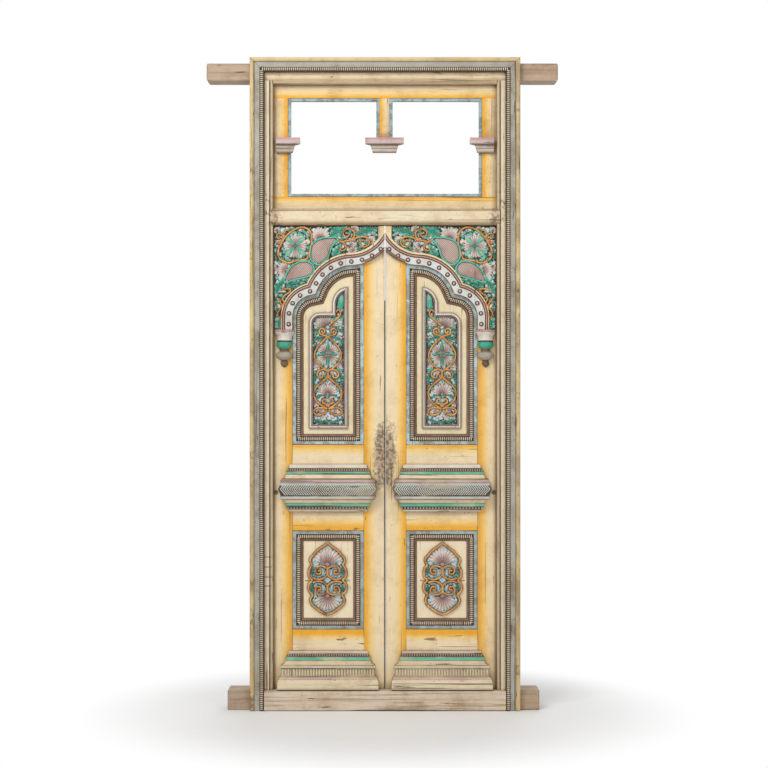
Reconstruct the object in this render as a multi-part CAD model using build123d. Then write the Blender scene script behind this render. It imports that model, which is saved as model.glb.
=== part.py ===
"""A carved and painted double door in its frame.

Two panelled leaves turn on wooden pivots in a sill and a transom bar, under an open light.
X runs along the wall, Z is up and the carved front faces -Y.
The origin is on the floor, under the line where the leaves meet, at the front of the posts.
All sizes are in millimetres.
"""

import math
import os

from build123d import *

# Frame: overall sizes
opening_width = 896.0
door_height = 1860.0
light_height = 498.0
post_width = 70.0
post_depth = 110.0
lip_width = 14.0
lip_depth = 29.0
lip_round = 7.0
quirk_width = 4.0
quirk_depth = 4.0

# Frame: sill, lintel and their horns
sill_height = 80.0
sill_nosing = 26.0
sill_edge_round = 5.0
sill_rebate = 12.0
sill_horn_left = 90.0
sill_horn_right = 78.0
lintel_height = 68.0
lintel_horn_left = 174.0
lintel_horn_right = 152.0
horn_chamfer = 5.0
post_tenon_width = 34.0
post_tenon_thickness = 32.0
post_tenon_length = 40.0

# Frame: architrave nailed round the front
architrave_width = 58.0
architrave_base = 20.0
architrave_side_lap = 8.0
architrave_top_lap = 22.0
roll_width = 18.0
roll_rise = 8.5
astragal_width = 16.0
astragal_rise = 6.0
astragal_bevel = 4.0
astragal_margin = 2.0

# Transom bar
bar_height = 66.0
bar_proud = 4.0
bar_cheek_lap = 12.0
bar_rebate = 13.0
bar_nose_round = 16.0
bar_groove = 5.0
bar_tenon_height = 34.0
bar_tenon_thickness = 30.0
bar_tenon_length = 28.0

# Open light above the doors
light_thickness = 30.0
light_stile_width = 72.0
light_top_rail = 66.0
light_bottom_rail = 49.0
light_mullion_width = 40.0
light_mullion_drop = 164.0
light_mullion_shift = -2.0
light_bead = 13.0
light_bead_depth = 20.0

# Brackets of the lost colonnettes
bracket_height = 57.0
bracket_slab = 22.0
bracket_slab_lip = 5.0
bracket_top_depth = 46.0
bracket_run = 30.0
bracket_lip_share = 0.72
bracket_side_width = 96.0
bracket_middle_width = 154.0
bracket_inset = 12.0

# Leaf: overall sizes and clearances
leaf_thickness = 42.0
leaf_face_gap = 1.0
leaf_edge_gap = 2.0
leaf_end_gap = 3.0
meeting_gap = 4.0
planted_gap = 2.0

# Leaf: stiles, rails, panels
hanging_stile_width = 88.0
meeting_stile_width = 82.0
bottom_rail_height = 247.0
lower_opening_height = 398.0
lock_rail_height = 343.0
rail_tenon_length = 45.0
rail_tenon_thickness = 12.0
rail_tenon_shoulder = 22.0
panel_thickness = 14.0
panel_sink = 18.0
panel_tongue = 10.0

# Leaf: pivots turned on the ends of the hanging stile
pivot_radius = 15.0
pivot_clearance = 0.08
pivot_reach = 34.0
pivot_end_gap = 2.0

# Arch over both leaves
band_width = 42.0
band_thickness = 16.0
foot_radius = 133.0
crown_radius = 197.0
crown_rise = 54.0
crown_inset = 44.0
ogee_radius = 155.0
apex_drop = 25.0
spring_drop = 378.0
foot_length = 50.0
stud_count = 13
stud_inset = 28.0
stud_width = 18.0
stud_rise = 8.0
stud_sides = 5

# Mouldings round the panels
moulding_width = 44.0
moulding_set_back = 1.0
moulding_fillet = 15.0
moulding_bead_step = 5.0
moulding_toe_slope = 10.0
field_margin_share = 0.073
inner_frame_share = 0.0556
inner_frame_rise = 8.0
shoulder_gap = 35.5
neck_gap = 34.5
shoulder_radius_share = 0.285
neck_radius_share = 1.094

# Carving
pocket_depth = 6.0
spandrel_stem = 8.0
cartouche_stem = 8.5
pocket_clearance = 1.0
carving_low = 7.0
carving_high = 11.0
spandrel_board = 10.0
spandrel_margin = 6.0
spandrel_low = 5.0
spandrel_high = 9.0
cartouche_low = 7.0
cartouche_high = 12.0

# Turned pendants under the arch
pendant_radius = 42.0
pendant_height = 152.0
pendant_sides = 12

# Waist cornice and plinth
cornice_height = 188.0
cornice_top_gap = 78.0
cornice_side_run = 44.0
cornice_base = 12.0
cornice_end_lap = 11.0
plinth_height = 150.0
plinth_side_run = 44.0
plinth_base = 12.0
plinth_end_lap = 14.0
plinth_clearance = 4.0

# How far past a face a cut runs
overrun = 5.0

# Places worked out from the sizes above
half_opening = opening_width / 2
rebate_x = half_opening + lip_width
post_x = rebate_x + post_width
frame_x = post_x + architrave_side_lap
architrave_inner_x = frame_x - architrave_width
bar_bottom = sill_height + door_height
light_bottom = bar_bottom + bar_height
lip_bottom = light_bottom + light_height
lintel_bottom = lip_bottom + lip_width
lintel_top = lintel_bottom + lintel_height
frame_top = lintel_top + architrave_top_lap

leaf_front = lip_depth + leaf_face_gap
leaf_back = leaf_front + leaf_thickness
leaf_outer = -(rebate_x - leaf_edge_gap)
leaf_inner = -meeting_gap / 2
rebate_floor = sill_height - sill_rebate
rebate_ceiling = bar_bottom + bar_rebate
leaf_bottom = rebate_floor + leaf_end_gap
leaf_top = rebate_ceiling - leaf_end_gap
heel_radius = leaf_thickness / 2
pivot_x = leaf_outer + heel_radius
pivot_y = leaf_front + heel_radius

panel_left = leaf_outer + hanging_stile_width
panel_right = leaf_inner - meeting_stile_width
field_margin = field_margin_share * (panel_right - panel_left)
inner_frame_width = inner_frame_share * (panel_right - panel_left)
lower_z = leaf_bottom + bottom_rail_height
lower_top_z = lower_z + lower_opening_height
upper_z = lower_top_z + lock_rail_height
panel_face = leaf_front + panel_sink
panel_back = panel_face + panel_thickness
face_left = -half_opening + planted_gap
spandrel_top = bar_bottom - leaf_end_gap

# Arch circles: foot lobe, crown lobe and the hollow ogee that rises to the apex
frame_inset = moulding_width + field_margin
arch_foot_x = panel_left - band_width
spring_z = leaf_top - spring_drop
foot_centre = Vector(arch_foot_x + foot_radius, spring_z)
crown_centre = Vector(panel_right - crown_inset, spring_z + crown_rise)
apex = Vector(0, bar_bottom - apex_drop)


def circles_meet(centre_a, radius_a, centre_b, radius_b):
    """The meeting point of two circles that lies to the left of the way from a to b."""
    across = centre_b - centre_a
    along = (radius_a**2 - radius_b**2 + across.length**2) / (2 * across.length)
    height = math.sqrt(radius_a**2 - along**2)
    way = across.normalized()
    return centre_a + way * along + Vector(-way.Y, way.X) * height


cusp = circles_meet(foot_centre, foot_radius, crown_centre, crown_radius)
ogee_centre = circles_meet(crown_centre, ogee_radius + crown_radius, apex, ogee_radius)
if ogee_centre.X > crown_centre.X:
    raise ValueError("the ogee turns the wrong way")


# Shapes in the plane of the door: first number along X, second along Z


def slab(face, back, front):
    """A flat outline given thickness, from depth back forwards to depth front."""
    return extrude(Plane.XZ.offset(-back) * face, amount=back - front)


def at_depth(face, depth):
    """A flat outline stood upright at a depth."""
    return Plane.XZ.offset(-depth) * face


def block(x0, x1, y0, y1, z0, z1):
    """A box between two corners."""
    return Pos((x0 + x1) / 2, (y0 + y1) / 2, (z0 + z1) / 2) * Box(x1 - x0, y1 - y0, z1 - z0)


def rectangle(x0, x1, z0, z1):
    """A flat rectangle between two corners."""
    return Pos((x0 + x1) / 2, (z0 + z1) / 2) * Rectangle(x1 - x0, z1 - z0)


def closed(edges):
    """The face inside a closed run of edges."""
    return Sketch() + make_face(edges)


def polygon(points):
    """The face inside a closed polygon."""
    return closed(Polyline(*points, close=True).edges())


def arc(centre, radius, start, end):
    """The shorter arc about a centre between two points."""
    middle = (start + end) * 0.5 - centre
    return ThreePointArc(start, centre + middle.normalized() * radius, end)


def tangents_meet(point_a, normal_a, point_b, normal_b):
    """Where the straight lines through two points, square to their normals, cross."""
    reach_a = point_a.X * normal_a.X + point_a.Y * normal_a.Y
    reach_b = point_b.X * normal_b.X + point_b.Y * normal_b.Y
    scale = normal_a.X * normal_b.Y - normal_a.Y * normal_b.X
    x = (reach_a * normal_b.Y - reach_b * normal_a.Y) / scale
    z = (normal_a.X * reach_b - normal_b.X * reach_a) / scale
    return Vector(x, z)


def cusp_mitre(inset):
    """Under the cusp: the crown's end, the corner and the foot's start, moved in by inset."""
    to_crown, to_foot = (cusp - crown_centre).normalized(), (cusp - foot_centre).normalized()
    crown_end = crown_centre + to_crown * (crown_radius - inset)
    foot_start = foot_centre + to_foot * (foot_radius - inset)
    return crown_end, tangents_meet(crown_end, to_crown, foot_start, to_foot), foot_start


def arch_edges(inset, right):
    """The arch's line from x = right down to the springing, moved in from its outer edge by inset."""
    hollow, crown, foot = ogee_radius + inset, crown_radius - inset, foot_radius - inset
    bend = crown_centre + (ogee_centre - crown_centre).normalized() * crown
    edges = []
    if right > bend.X:
        rise = math.sqrt(hollow**2 - (right - ogee_centre.X) ** 2)
        edges.append(arc(ogee_centre, hollow, Vector(right, ogee_centre.Y - rise), bend))
        start = bend
    else:
        start = Vector(right, crown_centre.Y + math.sqrt(crown**2 - (right - crown_centre.X) ** 2))
    if inset > 0:
        crown_end, corner, foot_start = cusp_mitre(inset)
        mitre = [Line(crown_end, corner), Line(corner, foot_start)]
    else:
        crown_end = foot_start = circles_meet(foot_centre, foot, crown_centre, crown)
        mitre = []
    edges.append(arc(crown_centre, crown, start, crown_end))
    edges += mitre
    edges.append(arc(foot_centre, foot, foot_start, Vector(arch_foot_x + inset, spring_z)))
    return edges


def arch_outline(inset, right, bottom):
    """The closed outline under the arch: its line, a straight leg on each side and a level foot."""
    line = arch_edges(inset, right)
    start, end = line[0] @ 0, line[-1] @ 1
    foot_left, foot_right = Vector(end.X, bottom), Vector(right, bottom)
    legs = [Line(end, foot_left), Line(foot_left, foot_right), Line(foot_right, start)]
    return closed(line + legs)


def panel_outline(step):
    """The upper panel's outline, moved in by step from the edge of its opening."""
    return arch_outline(band_width + step, panel_right - step, upper_z + step)


def inner_outline(step):
    """The fillet round the upper carving: a round shoulder and a neck that rounds off under the crown."""
    outer_left, outer_right = panel_left + frame_inset, panel_right - frame_inset
    left, right, foot = outer_left + step, outer_right - step, upper_z + frame_inset + step
    corner = cusp_mitre(band_width + moulding_width)[1]
    shoulder, neck = corner.Y - shoulder_gap, corner.X + neck_gap
    bend = shoulder_radius_share * (outer_right - outer_left)
    shoulder_centre = Vector(outer_left + bend, shoulder - bend)
    turn = neck_radius_share * (outer_right - neck)
    neck_centre = Vector(neck + turn, crown_centre.Y)
    top = neck_centre.Y + math.sqrt((turn - step) ** 2 - (right - neck_centre.X) ** 2)
    places = [
        Vector(left, foot),
        Vector(left, shoulder_centre.Y),
        Vector(shoulder_centre.X, shoulder - step),
        Vector(neck + step, shoulder - step),
        Vector(neck + step, neck_centre.Y),
        Vector(right, top),
        Vector(right, foot),
    ]
    edges = [Line(a, b) for a, b in zip(places, places[1:] + places[:1])]
    edges[1] = arc(shoulder_centre, bend - step, places[1], places[2])
    edges[4] = arc(neck_centre, turn - step, places[4], places[5])
    return closed(edges)


def lower_outline(step):
    """The lower panel's outline, moved in by step from the edge of its opening."""
    return rectangle(panel_left + step, panel_right - step, lower_z + step, lower_top_z - step)


def sunk_moulding(outline):
    """The stepped moulding from the stile's face down to the panel: fillet, bead seat and sloping toe."""
    front = leaf_front + moulding_set_back
    seat = front + moulding_bead_step
    ring = slab(outline(0), panel_face, front) - slab(outline(moulding_fillet), seat, front - overrun)
    ring -= slab(outline(moulding_width), panel_face + overrun, seat - overrun)
    seat_face = ring.faces().filter_by(Axis.Y).filter_by(lambda face: face.inner_wires()).sort_by(Axis.Y)[1]
    return chamfer(seat_face.inner_wires()[0].edges(), moulding_toe_slope)


# Carved ornament, as flat outlines


def toward(angle):
    """A unit step at an angle in degrees, counted from +X towards +Z."""
    return Vector(math.cos(math.radians(angle)), math.sin(math.radians(angle)))


def across(way):
    """A way turned a quarter turn to the left."""
    return Vector(-way.Y, way.X)


# A leaf's outline: share of its length from the base, share of its half width
petal_shares = [(0.0, 0.0), (0.6, 1.0), (1.0, 0.0), (0.6, -1.0)]
bulb_sides = 5
boss_sides = 4


def blade(base, tip, width):
    """A pointed leaf between two points."""
    side = across((tip - base).normalized()) * (width / 2)
    return polygon([base + (tip - base) * u + side * v for u, v in petal_shares])


def drop(centre, radius, tip):
    """A round bulb drawn out to a point."""
    reach = tip - centre
    heading = math.degrees(math.atan2(reach.Y, reach.X))
    open_angle = math.degrees(math.acos(radius / reach.length))
    points = [tip]
    for i in range(bulb_sides + 1):
        angle = heading + open_angle + (360 - 2 * open_angle) * i / bulb_sides
        points.append(centre + toward(angle) * radius)
    return polygon(points)


def ribbon(points, width):
    """A strip of even width along a run of points."""
    left, right = [], []
    for i, point in enumerate(points):
        before, after = points[max(i - 1, 0)], points[min(i + 1, len(points) - 1)]
        side = across((after - before).normalized()) * (width / 2)
        left.append(point + side)
        right.append(point - side)
    return polygon(left + right[::-1])


def smooth(points, steps):
    """Points evenly spread along a smooth curve through a few points."""
    curve = Spline(*points)
    return [curve @ (i / steps) for i in range(steps + 1)]


scroll_steps = 4
scroll_eye_share = 0.36
scroll_turn = 330.0


def scroll(centre, radius, start, hand, width):
    """A strip that curls in to an eye; hand is 1 to the left and -1 to the right."""
    points = []
    for i in range(scroll_steps + 1):
        share = i / scroll_steps
        reach = radius * (1 - share * (1 - scroll_eye_share))
        points.append(centre + toward(start + hand * scroll_turn * share) * reach)
    return ribbon(points, width)


fan_boss_share = 0.62
flower_petals = 4


def fan(centre, heading, spread, petals, length, width):
    """Petals spread evenly about a heading, from a round boss."""
    found = [Pos(centre.X, centre.Y) * RegularPolygon(fan_boss_share * width, boss_sides)]
    for i in range(petals):
        angle = heading + spread * (i / (petals - 1) - 1 / 2)
        found.append(blade(centre, centre + toward(angle) * length, width))
    return found


def flower(centre, heading, length, width):
    """Four petals about a round boss, one of them along the heading."""
    spread = 360 - 360 / flower_petals
    return fan(centre, heading + spread / 2, spread, flower_petals, length, width)


def joined(faces, within):
    """Outlines joined into one and trimmed to a region."""
    return (Sketch() + faces) & within


# Arabesque: places as shares of the pocket's half width and of its height to the spring
lozenge_shares = [(0.152, 0.424, 0.90), (0.529, 0.848, 0.87)]
lozenge_steps = 4
lozenge_power = 1.25
scroll_pair_shares = [0.467, 0.895]
scroll_pair_share = 0.45
petal_length_share = 0.56
petal_width_share = 0.36
palmette_length_share = 0.62
palmette_width_share = 0.22
palmette_base_share = 0.29
palmette_petals = 5
palmette_spread = 130.0
base_leaf_share = 0.07
arabesque_stem_share = 0.0167
top_stem_shares = [(0.02, 0.95), (0.55, 1.00), (0.70, 1.075), (0.42, 1.10)]
top_leaf_shares = [(0.58, 1.06), (0.86, 1.25)]


def arabesque_faces():
    """Low leaves and high stems of the upper panel's carving."""
    left = panel_left + frame_inset + inner_frame_width
    right = panel_right - frame_inset - inner_frame_width
    foot = upper_z + frame_inset + inner_frame_width
    half, height = (right - left) / 2, spring_z - foot

    def place(u, v):
        return Vector((left + right) / 2 + u * half, foot + v * height)

    stem = arabesque_stem_share * height
    stems, leaves = [], []
    for low, high, wide in lozenge_shares:
        for side in (-1, 1):
            run = []
            for i in range(lozenge_steps + 1):
                share = i / lozenge_steps
                swell = side * wide * math.sin(math.pi * share) ** lozenge_power
                run.append(place(swell, low + (high - low) * share))
            stems.append(ribbon(run, stem))
    for level in scroll_pair_shares:
        for side in (-1, 1):
            eye = place(side * scroll_pair_share, level)
            stems.append(scroll(eye, scroll_pair_share * half, 90 + 90 * side, -side, stem))
    low, high, wide = lozenge_shares[1]
    leaves += flower(place(0, (low + high) / 2), 0, petal_length_share * half, petal_width_share * half)
    petal = (palmette_length_share * half, palmette_width_share * half)
    leaves += fan(place(0, palmette_base_share), 90, palmette_spread, palmette_petals, *petal)
    for side in (-1, 1):
        root, tip = place(side * palmette_width_share, base_leaf_share), place(side, base_leaf_share)
        leaves.append(blade(root, tip, petal_width_share * half))
    stems.append(ribbon(smooth([place(u, v) for u, v in top_stem_shares], lozenge_steps), stem))
    base, tip = [place(u, v) for u, v in top_leaf_shares]
    leaves.append(blade(base, tip, petal_width_share * half))
    return leaves, stems


# Spandrel: places as shares of the spandrel's width, across and down from its top outer corner
ring_shares = [(0.10, 0.10), (0.18, 0.04), (0.26, 0.025), (0.33, 0.06), (0.35, 0.12), (0.30, 0.30)]
ring_steps = 4
flower_share = (0.195, 0.195)
flower_length_share = 0.125
flower_width_share = 0.075
drop_share = (0.405, 0.255)
drop_tip_share = (0.585, 0.115)
drop_radius_share = 0.085
drop_rim_share = 0.016
drop_fill_share = 0.8
spandrel_scroll_shares = [(0.665, 0.075, 0.052), (0.805, 0.140, 0.058)]
foot_scroll_shares = [(0.062, 0.660, 0.036)]
spray_shares = [((0.70, 0.12), (0.95, 0.03)), ((0.045, 0.73), (0.035, 0.90))]
spray_width_share = 0.05
shell_share = (0.44, 0.105)
shell_length_share = 0.085
shell_width_share = 0.034
shell_petals = 3
shell_spread = 110.0
spandrel_scroll_start = 200.0


def spandrel_outline(margin=0.0):
    """The carved board between the arch, the transom bar and the jamb, less a margin all round."""
    line = arch_edges(-margin, leaf_inner - margin)
    start, end = line[0] @ 0, line[-1] @ 1
    foot = spring_z - foot_length + margin
    left, top = face_left + margin, spandrel_top - margin
    corners = [
        end,
        Vector(end.X, foot),
        Vector(left, foot),
        Vector(left, top),
        Vector(start.X, top),
        start,
    ]
    sides = [Line(a, b) for a, b in zip(corners, corners[1:])]
    return closed(line + sides)


def spandrel_faces():
    """Low leaves and high stems of the spandrel, mirrored about the corner's diagonal."""
    width = leaf_inner - face_left

    def place(pair, swap=False):
        a, b = (pair[1], pair[0]) if swap else (pair[0], pair[1])
        return Vector(face_left + a * width, spandrel_top - b * width)

    stem = spandrel_stem
    leaves, stems = [], []
    for swap in (False, True):
        stems.append(ribbon(smooth([place(p, swap) for p in ring_shares], ring_steps), stem))
        centre, tip = place(drop_share, swap), place(drop_tip_share, swap)
        leaves.append(drop(centre, (drop_radius_share + drop_rim_share) * width, tip))
        near = centre + (tip - centre) * drop_fill_share
        stems.append(drop(centre, drop_radius_share * width, near))
        heading = 180 if swap else 90
        petals = (shell_length_share * width, shell_width_share * width)
        leaves += fan(place(shell_share, swap), heading, shell_spread, shell_petals, *petals)
    leaves += flower(place(flower_share), 45, flower_length_share * width, flower_width_share * width)
    for a, b, radius in spandrel_scroll_shares:
        stems.append(scroll(place((a, b)), radius * width, spandrel_scroll_start, -1, stem))
    for a, b, radius in foot_scroll_shares:
        stems.append(scroll(place((a, b)), radius * width, 90, 1, stem))
    for base, tip in spray_shares:
        leaves.append(blade(place(base), place(tip), spray_width_share * width))
    return leaves, stems


# Cartouche: a quarter of its edge as shares of the field's half width and half height
edge_shares = [(0.0, 0.95), (0.24, 0.86), (0.56, 0.70), (0.74, 0.55), (0.80, 0.24), (0.66, 0.02)]
edge_steps = 5
ring_place_share = (0.35, 0.22)
ring_radius_share = 0.25
shell_base_share = 0.36
cartouche_shell_share = 0.50
cartouche_petal_share = 0.20
cartouche_petals = 5
cartouche_spread = 150.0
diamond_share = 0.16


def cartouche_faces():
    """Low leaves and high stems of the lower panel's carving."""
    centre = Vector((panel_left + panel_right) / 2, (lower_z + lower_top_z) / 2)
    half = (panel_right - panel_left) / 2 - moulding_width
    tall = lower_opening_height / 2 - moulding_width

    def place(u, v):
        return centre + Vector(u * half, v * tall)

    stem = cartouche_stem
    leaves, stems = [], []
    for side in (-1, 1):
        for up in (-1, 1):
            edge = [place(side * u, up * v) for u, v in edge_shares]
            stems.append(ribbon(smooth(edge, edge_steps), stem))
            eye = place(side * ring_place_share[0], up * ring_place_share[1])
            stems.append(scroll(eye, ring_radius_share * half, -90 * up, side * up, stem))
    for up in (-1, 1):
        petals = (cartouche_shell_share * half, cartouche_petal_share * half)
        leaves += fan(place(0, up * shell_base_share), 90 * up, cartouche_spread, cartouche_petals, *petals)
    size = diamond_share * half
    corners = [toward(90 * quarter) * size + centre for quarter in range(4)]
    leaves.append(polygon(corners))
    return leaves, stems


def relief(faces, within, back, low, high):
    """Carving that stands on a flat ground: leaves to a low height and stems to a high one."""
    leaves, stems = faces
    solid = slab(joined(leaves, within), back, back - low)
    return solid + slab(joined(stems, within), back, back - high)


# Frame pieces


def post_tenon(side, foot, reach):
    """The tenon at one end of a post, which the sill or lintel is mortised for."""
    centre = side * (rebate_x + post_width / 2)
    middle = (lip_depth + post_depth) / 2
    peg = Box(post_tenon_width, post_tenon_thickness, reach - foot)
    return Pos(centre, middle, (foot + reach) / 2) * peg


def bar_tenon(side):
    """The stub tenon at one end of the transom bar, which the post is mortised for."""
    centre = side * (rebate_x + bar_tenon_length / 2)
    middle = (lip_depth + post_depth) / 2
    peg = Box(bar_tenon_length, bar_tenon_thickness, bar_tenon_height)
    return Pos(centre, middle, (rebate_ceiling + light_bottom) / 2) * peg


def pivot_bore(side, low, high):
    """The hole that a leaf's pivot turns in."""
    hole = Cylinder(pivot_radius + pivot_clearance, high - low)
    return Pos(side * -pivot_x, pivot_y, (low + high) / 2) * hole


def sill():
    """The threshold beam: horns built into the wall, a nosing between the architraves and a rebate."""
    left, right = -(frame_x + sill_horn_left), frame_x + sill_horn_right
    beam = block(left, right, 0, post_depth, 0, sill_height)
    ends = beam.faces().sort_by(Axis.X)
    beam = chamfer(ends[0].edges() + ends[-1].edges(), horn_chamfer)
    nosing = block(-architrave_inner_x, architrave_inner_x, -sill_nosing, 0, 0, sill_height)
    nosing = fillet(nosing.faces().sort_by(Axis.Y)[0].edges().filter_by(Axis.X), sill_edge_round)
    beam += nosing
    beam -= block(-rebate_x, rebate_x, lip_depth, post_depth + overrun, rebate_floor, sill_height + overrun)
    for side in (-1, 1):
        beam -= post_tenon(side, sill_height - post_tenon_length, sill_height)
        beam -= pivot_bore(side, rebate_floor - pivot_reach, rebate_floor + overrun)
    return beam


def lintel():
    """The head beam, with its horns and the lip that the light stands behind."""
    left, right = -(frame_x + lintel_horn_left), frame_x + lintel_horn_right
    beam = block(left, right, 0, post_depth, lintel_bottom, lintel_top)
    ends = beam.faces().sort_by(Axis.X)
    beam = chamfer(ends[0].edges() + ends[-1].edges(), horn_chamfer)
    lip = block(-half_opening, half_opening, 0, lip_depth, lip_bottom, lintel_bottom)
    front_edge = lip.edges().filter_by(Axis.X).group_by(Axis.Z)[0].sort_by(Axis.Y)[0]
    beam += fillet(front_edge, lip_round)
    for side in (-1, 1):
        beam -= post_tenon(side, lintel_bottom, lintel_bottom + post_tenon_length)
    return beam


def left_post():
    """A jamb post with a rounded lip, a sunk quirk beside it and the rebate that the leaf shuts into."""
    quirk = -(rebate_x - quirk_width / 2)
    round_start = Vector(-half_opening - lip_round, 0)
    round_end = Vector(-half_opening, lip_round)
    middle = Vector(-half_opening - lip_round, lip_round) + toward(-45) * lip_round
    corners = [
        round_end,
        Vector(-half_opening, lip_depth),
        Vector(-rebate_x, lip_depth),
        Vector(-rebate_x, post_depth),
        Vector(-post_x, post_depth),
        Vector(-post_x, 0),
        Vector(quirk - quirk_width, 0),
        Vector(quirk - quirk_width / 2, quirk_depth),
        Vector(quirk, 0),
        round_start,
    ]
    edges = [Line(a, b) for a, b in zip(corners, corners[1:])]
    edges.append(ThreePointArc(round_start, middle, round_end))
    post = extrude(Pos(0, 0, sill_height) * closed(edges), amount=lintel_bottom - sill_height)
    post += post_tenon(-1, sill_height - post_tenon_length, sill_height)
    post += post_tenon(-1, lintel_bottom, lintel_bottom + post_tenon_length)
    return post - bar_tenon(-1)


def architrave_profile():
    """Section of the cover moulding, from its outer edge inwards: roll, flat band and astragal."""
    roll_end = Vector(roll_width, architrave_base)
    bead_end = architrave_width - astragal_margin
    bead_start = bead_end - astragal_width
    bead_top = architrave_base + astragal_rise
    edges = [
        Line(Vector(0, 0), Vector(0, architrave_base)),
        ThreePointArc(
            Vector(0, architrave_base), Vector(roll_width / 2, architrave_base + roll_rise), roll_end
        ),
        Line(roll_end, Vector(bead_start, architrave_base)),
        Line(Vector(bead_start, architrave_base), Vector(bead_start + astragal_bevel, bead_top)),
        Line(Vector(bead_start + astragal_bevel, bead_top), Vector(bead_end - astragal_bevel, bead_top)),
        Line(Vector(bead_end - astragal_bevel, bead_top), Vector(bead_end, architrave_base)),
        Line(Vector(bead_end, architrave_base), Vector(architrave_width, architrave_base)),
        Line(Vector(architrave_width, architrave_base), Vector(architrave_width, 0)),
        Line(Vector(architrave_width, 0), Vector(0, 0)),
    ]
    return closed(edges)


def mitre_wedge(reach):
    """The half of space above the 45 degree line through the frame's top left corner."""
    corner = Vector(-frame_x, frame_top)
    ways = [Vector(0, 0), Vector(reach, -reach), Vector(reach, reach), Vector(-reach, reach)]
    depth = architrave_base + roll_rise + overrun
    return slab(polygon([corner + way for way in ways]), overrun, -depth)


def left_architrave():
    """The upright cover moulding, mitred at the top."""
    stood = Plane(origin=(-frame_x, 0, 0), x_dir=(1, 0, 0), z_dir=(0, 0, 1))
    profile = mirror(architrave_profile(), about=Plane.XZ)
    return extrude(stood * profile, amount=frame_top) - mitre_wedge(frame_x)


def head_architrave():
    """The level cover moulding, mitred at both ends."""
    laid = Plane(origin=(-frame_x, 0, frame_top), x_dir=(0, 0, -1), z_dir=(1, 0, 0))
    piece = extrude(laid * architrave_profile(), amount=2 * frame_x)
    if piece.bounding_box().max.Y > overrun:
        piece = mirror(piece, about=Plane.XZ)
    piece &= mitre_wedge(2 * frame_x)
    return piece & mirror(mitre_wedge(2 * frame_x), about=Plane.YZ)


def transom_bar():
    """The rail between doors and light: rounded nose in front, rebate below for the leaves."""
    bar = block(-half_opening, half_opening, 0, lip_depth, bar_bottom, light_bottom)
    bar += block(-rebate_x, rebate_x, lip_depth, post_depth, rebate_ceiling, light_bottom)
    cheek = half_opening + bar_cheek_lap
    bar += block(-cheek, cheek, -bar_proud, 0, bar_bottom, light_bottom)
    nose = bar.edges().filter_by(Axis.X).sort_by(Axis.Y).group_by(Axis.Y)[0].sort_by(Axis.Z)[0]
    bar = fillet(nose, min(bar_nose_round, bar_proud + lip_depth / 2))
    groove = block(-cheek, cheek, -bar_proud, 0, light_bottom - bar_groove, light_bottom)
    bar -= groove
    for side in (-1, 1):
        bar += bar_tenon(side)
        bar -= pivot_bore(side, rebate_ceiling - overrun, rebate_ceiling + pivot_reach)
    return bar


light_front = lip_depth
light_back = light_front + light_thickness
light_left = -(rebate_x - light_stile_width)
light_high = lintel_bottom - light_top_rail
light_low = light_bottom + light_bottom_rail
mullion_left = light_mullion_shift - light_mullion_width / 2
mullion_right = light_mullion_shift + light_mullion_width / 2
mullion_foot = light_high - light_mullion_drop
bead_front = light_front + moulding_set_back


def light_bead_strips():
    """The strips that edge the light, mitred where two meet at a corner."""
    back = bead_front + light_bead_depth
    outer = rectangle(light_left, -light_left, light_low, light_high)
    inner = rectangle(
        light_left + light_bead, -light_left - light_bead, light_low + light_bead, light_high - light_bead
    )
    ring = slab(outer - inner, back, bead_front)
    stub = rectangle(mullion_left - light_bead, mullion_right + light_bead, mullion_foot, light_high)
    ring -= slab(stub, back + overrun, bead_front - overrun)
    for x0, x1 in ((mullion_left - light_bead, mullion_left), (mullion_right, mullion_right + light_bead)):
        ring += slab(rectangle(x0, x1, mullion_foot, light_high), back, bead_front)
    return ring


def bracket(left, right, run_left, run_right):
    """A bracket moulded in front and at each side that has a run: slab on top, tapering body beneath."""
    top, foot = mullion_foot, mullion_foot - bracket_height
    slab_foot, body_top = top - bracket_slab, top - bracket_slab - bracket_slab_lip

    def side_line(x, run, way):
        lip = bracket_lip_share * run
        return [
            Line(Vector(x, top), Vector(x, slab_foot)),
            Line(Vector(x, slab_foot), Vector(x + way * lip, body_top)),
            Line(Vector(x + way * lip, body_top), Vector(x + way * run, foot)),
        ]

    def plain_line(x):
        return [Line(Vector(x, top), Vector(x, foot))]

    left_line = side_line(left, run_left, 1) if run_left else plain_line(left)
    right_line = side_line(right, run_right, -1) if run_right else plain_line(right)
    level = [Line(left_line[0] @ 0, right_line[0] @ 0), Line(left_line[-1] @ 1, right_line[-1] @ 1)]
    front_view = slab(closed(left_line + right_line + level), light_front, light_front - bracket_top_depth)
    nose = side_line(light_front - bracket_top_depth, bracket_run, 1)
    wall = [Line(Vector(light_front, top), Vector(light_front, foot))]
    ends = [Line(nose[0] @ 0, wall[0] @ 0), Line(nose[-1] @ 1, wall[0] @ 1)]
    side_plane = Plane(origin=(left, 0, 0), x_dir=(0, 1, 0), z_dir=(1, 0, 0))
    side_view = extrude(side_plane * closed(nose + wall + ends), amount=right - left)
    return front_view & side_view


def side_bracket():
    """The bracket on the light's left stile."""
    left = -half_opening + bracket_inset
    return bracket(left, left + bracket_side_width, 0, bracket_run)


def middle_bracket():
    """The bracket under the light's short mullion."""
    left = light_mullion_shift - bracket_middle_width / 2
    return bracket(left, left + bracket_middle_width, bracket_run, bracket_run)


# Leaf pieces, for the left leaf


def rail_tenon(x, way, low, high):
    """The tenon at one end of a rail; the stile is mortised for it."""
    peg = Box(rail_tenon_length, rail_tenon_thickness, high - low - 2 * rail_tenon_shoulder)
    return Pos(x + way * rail_tenon_length / 2, panel_face + panel_thickness / 2, (low + high) / 2) * peg


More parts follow.
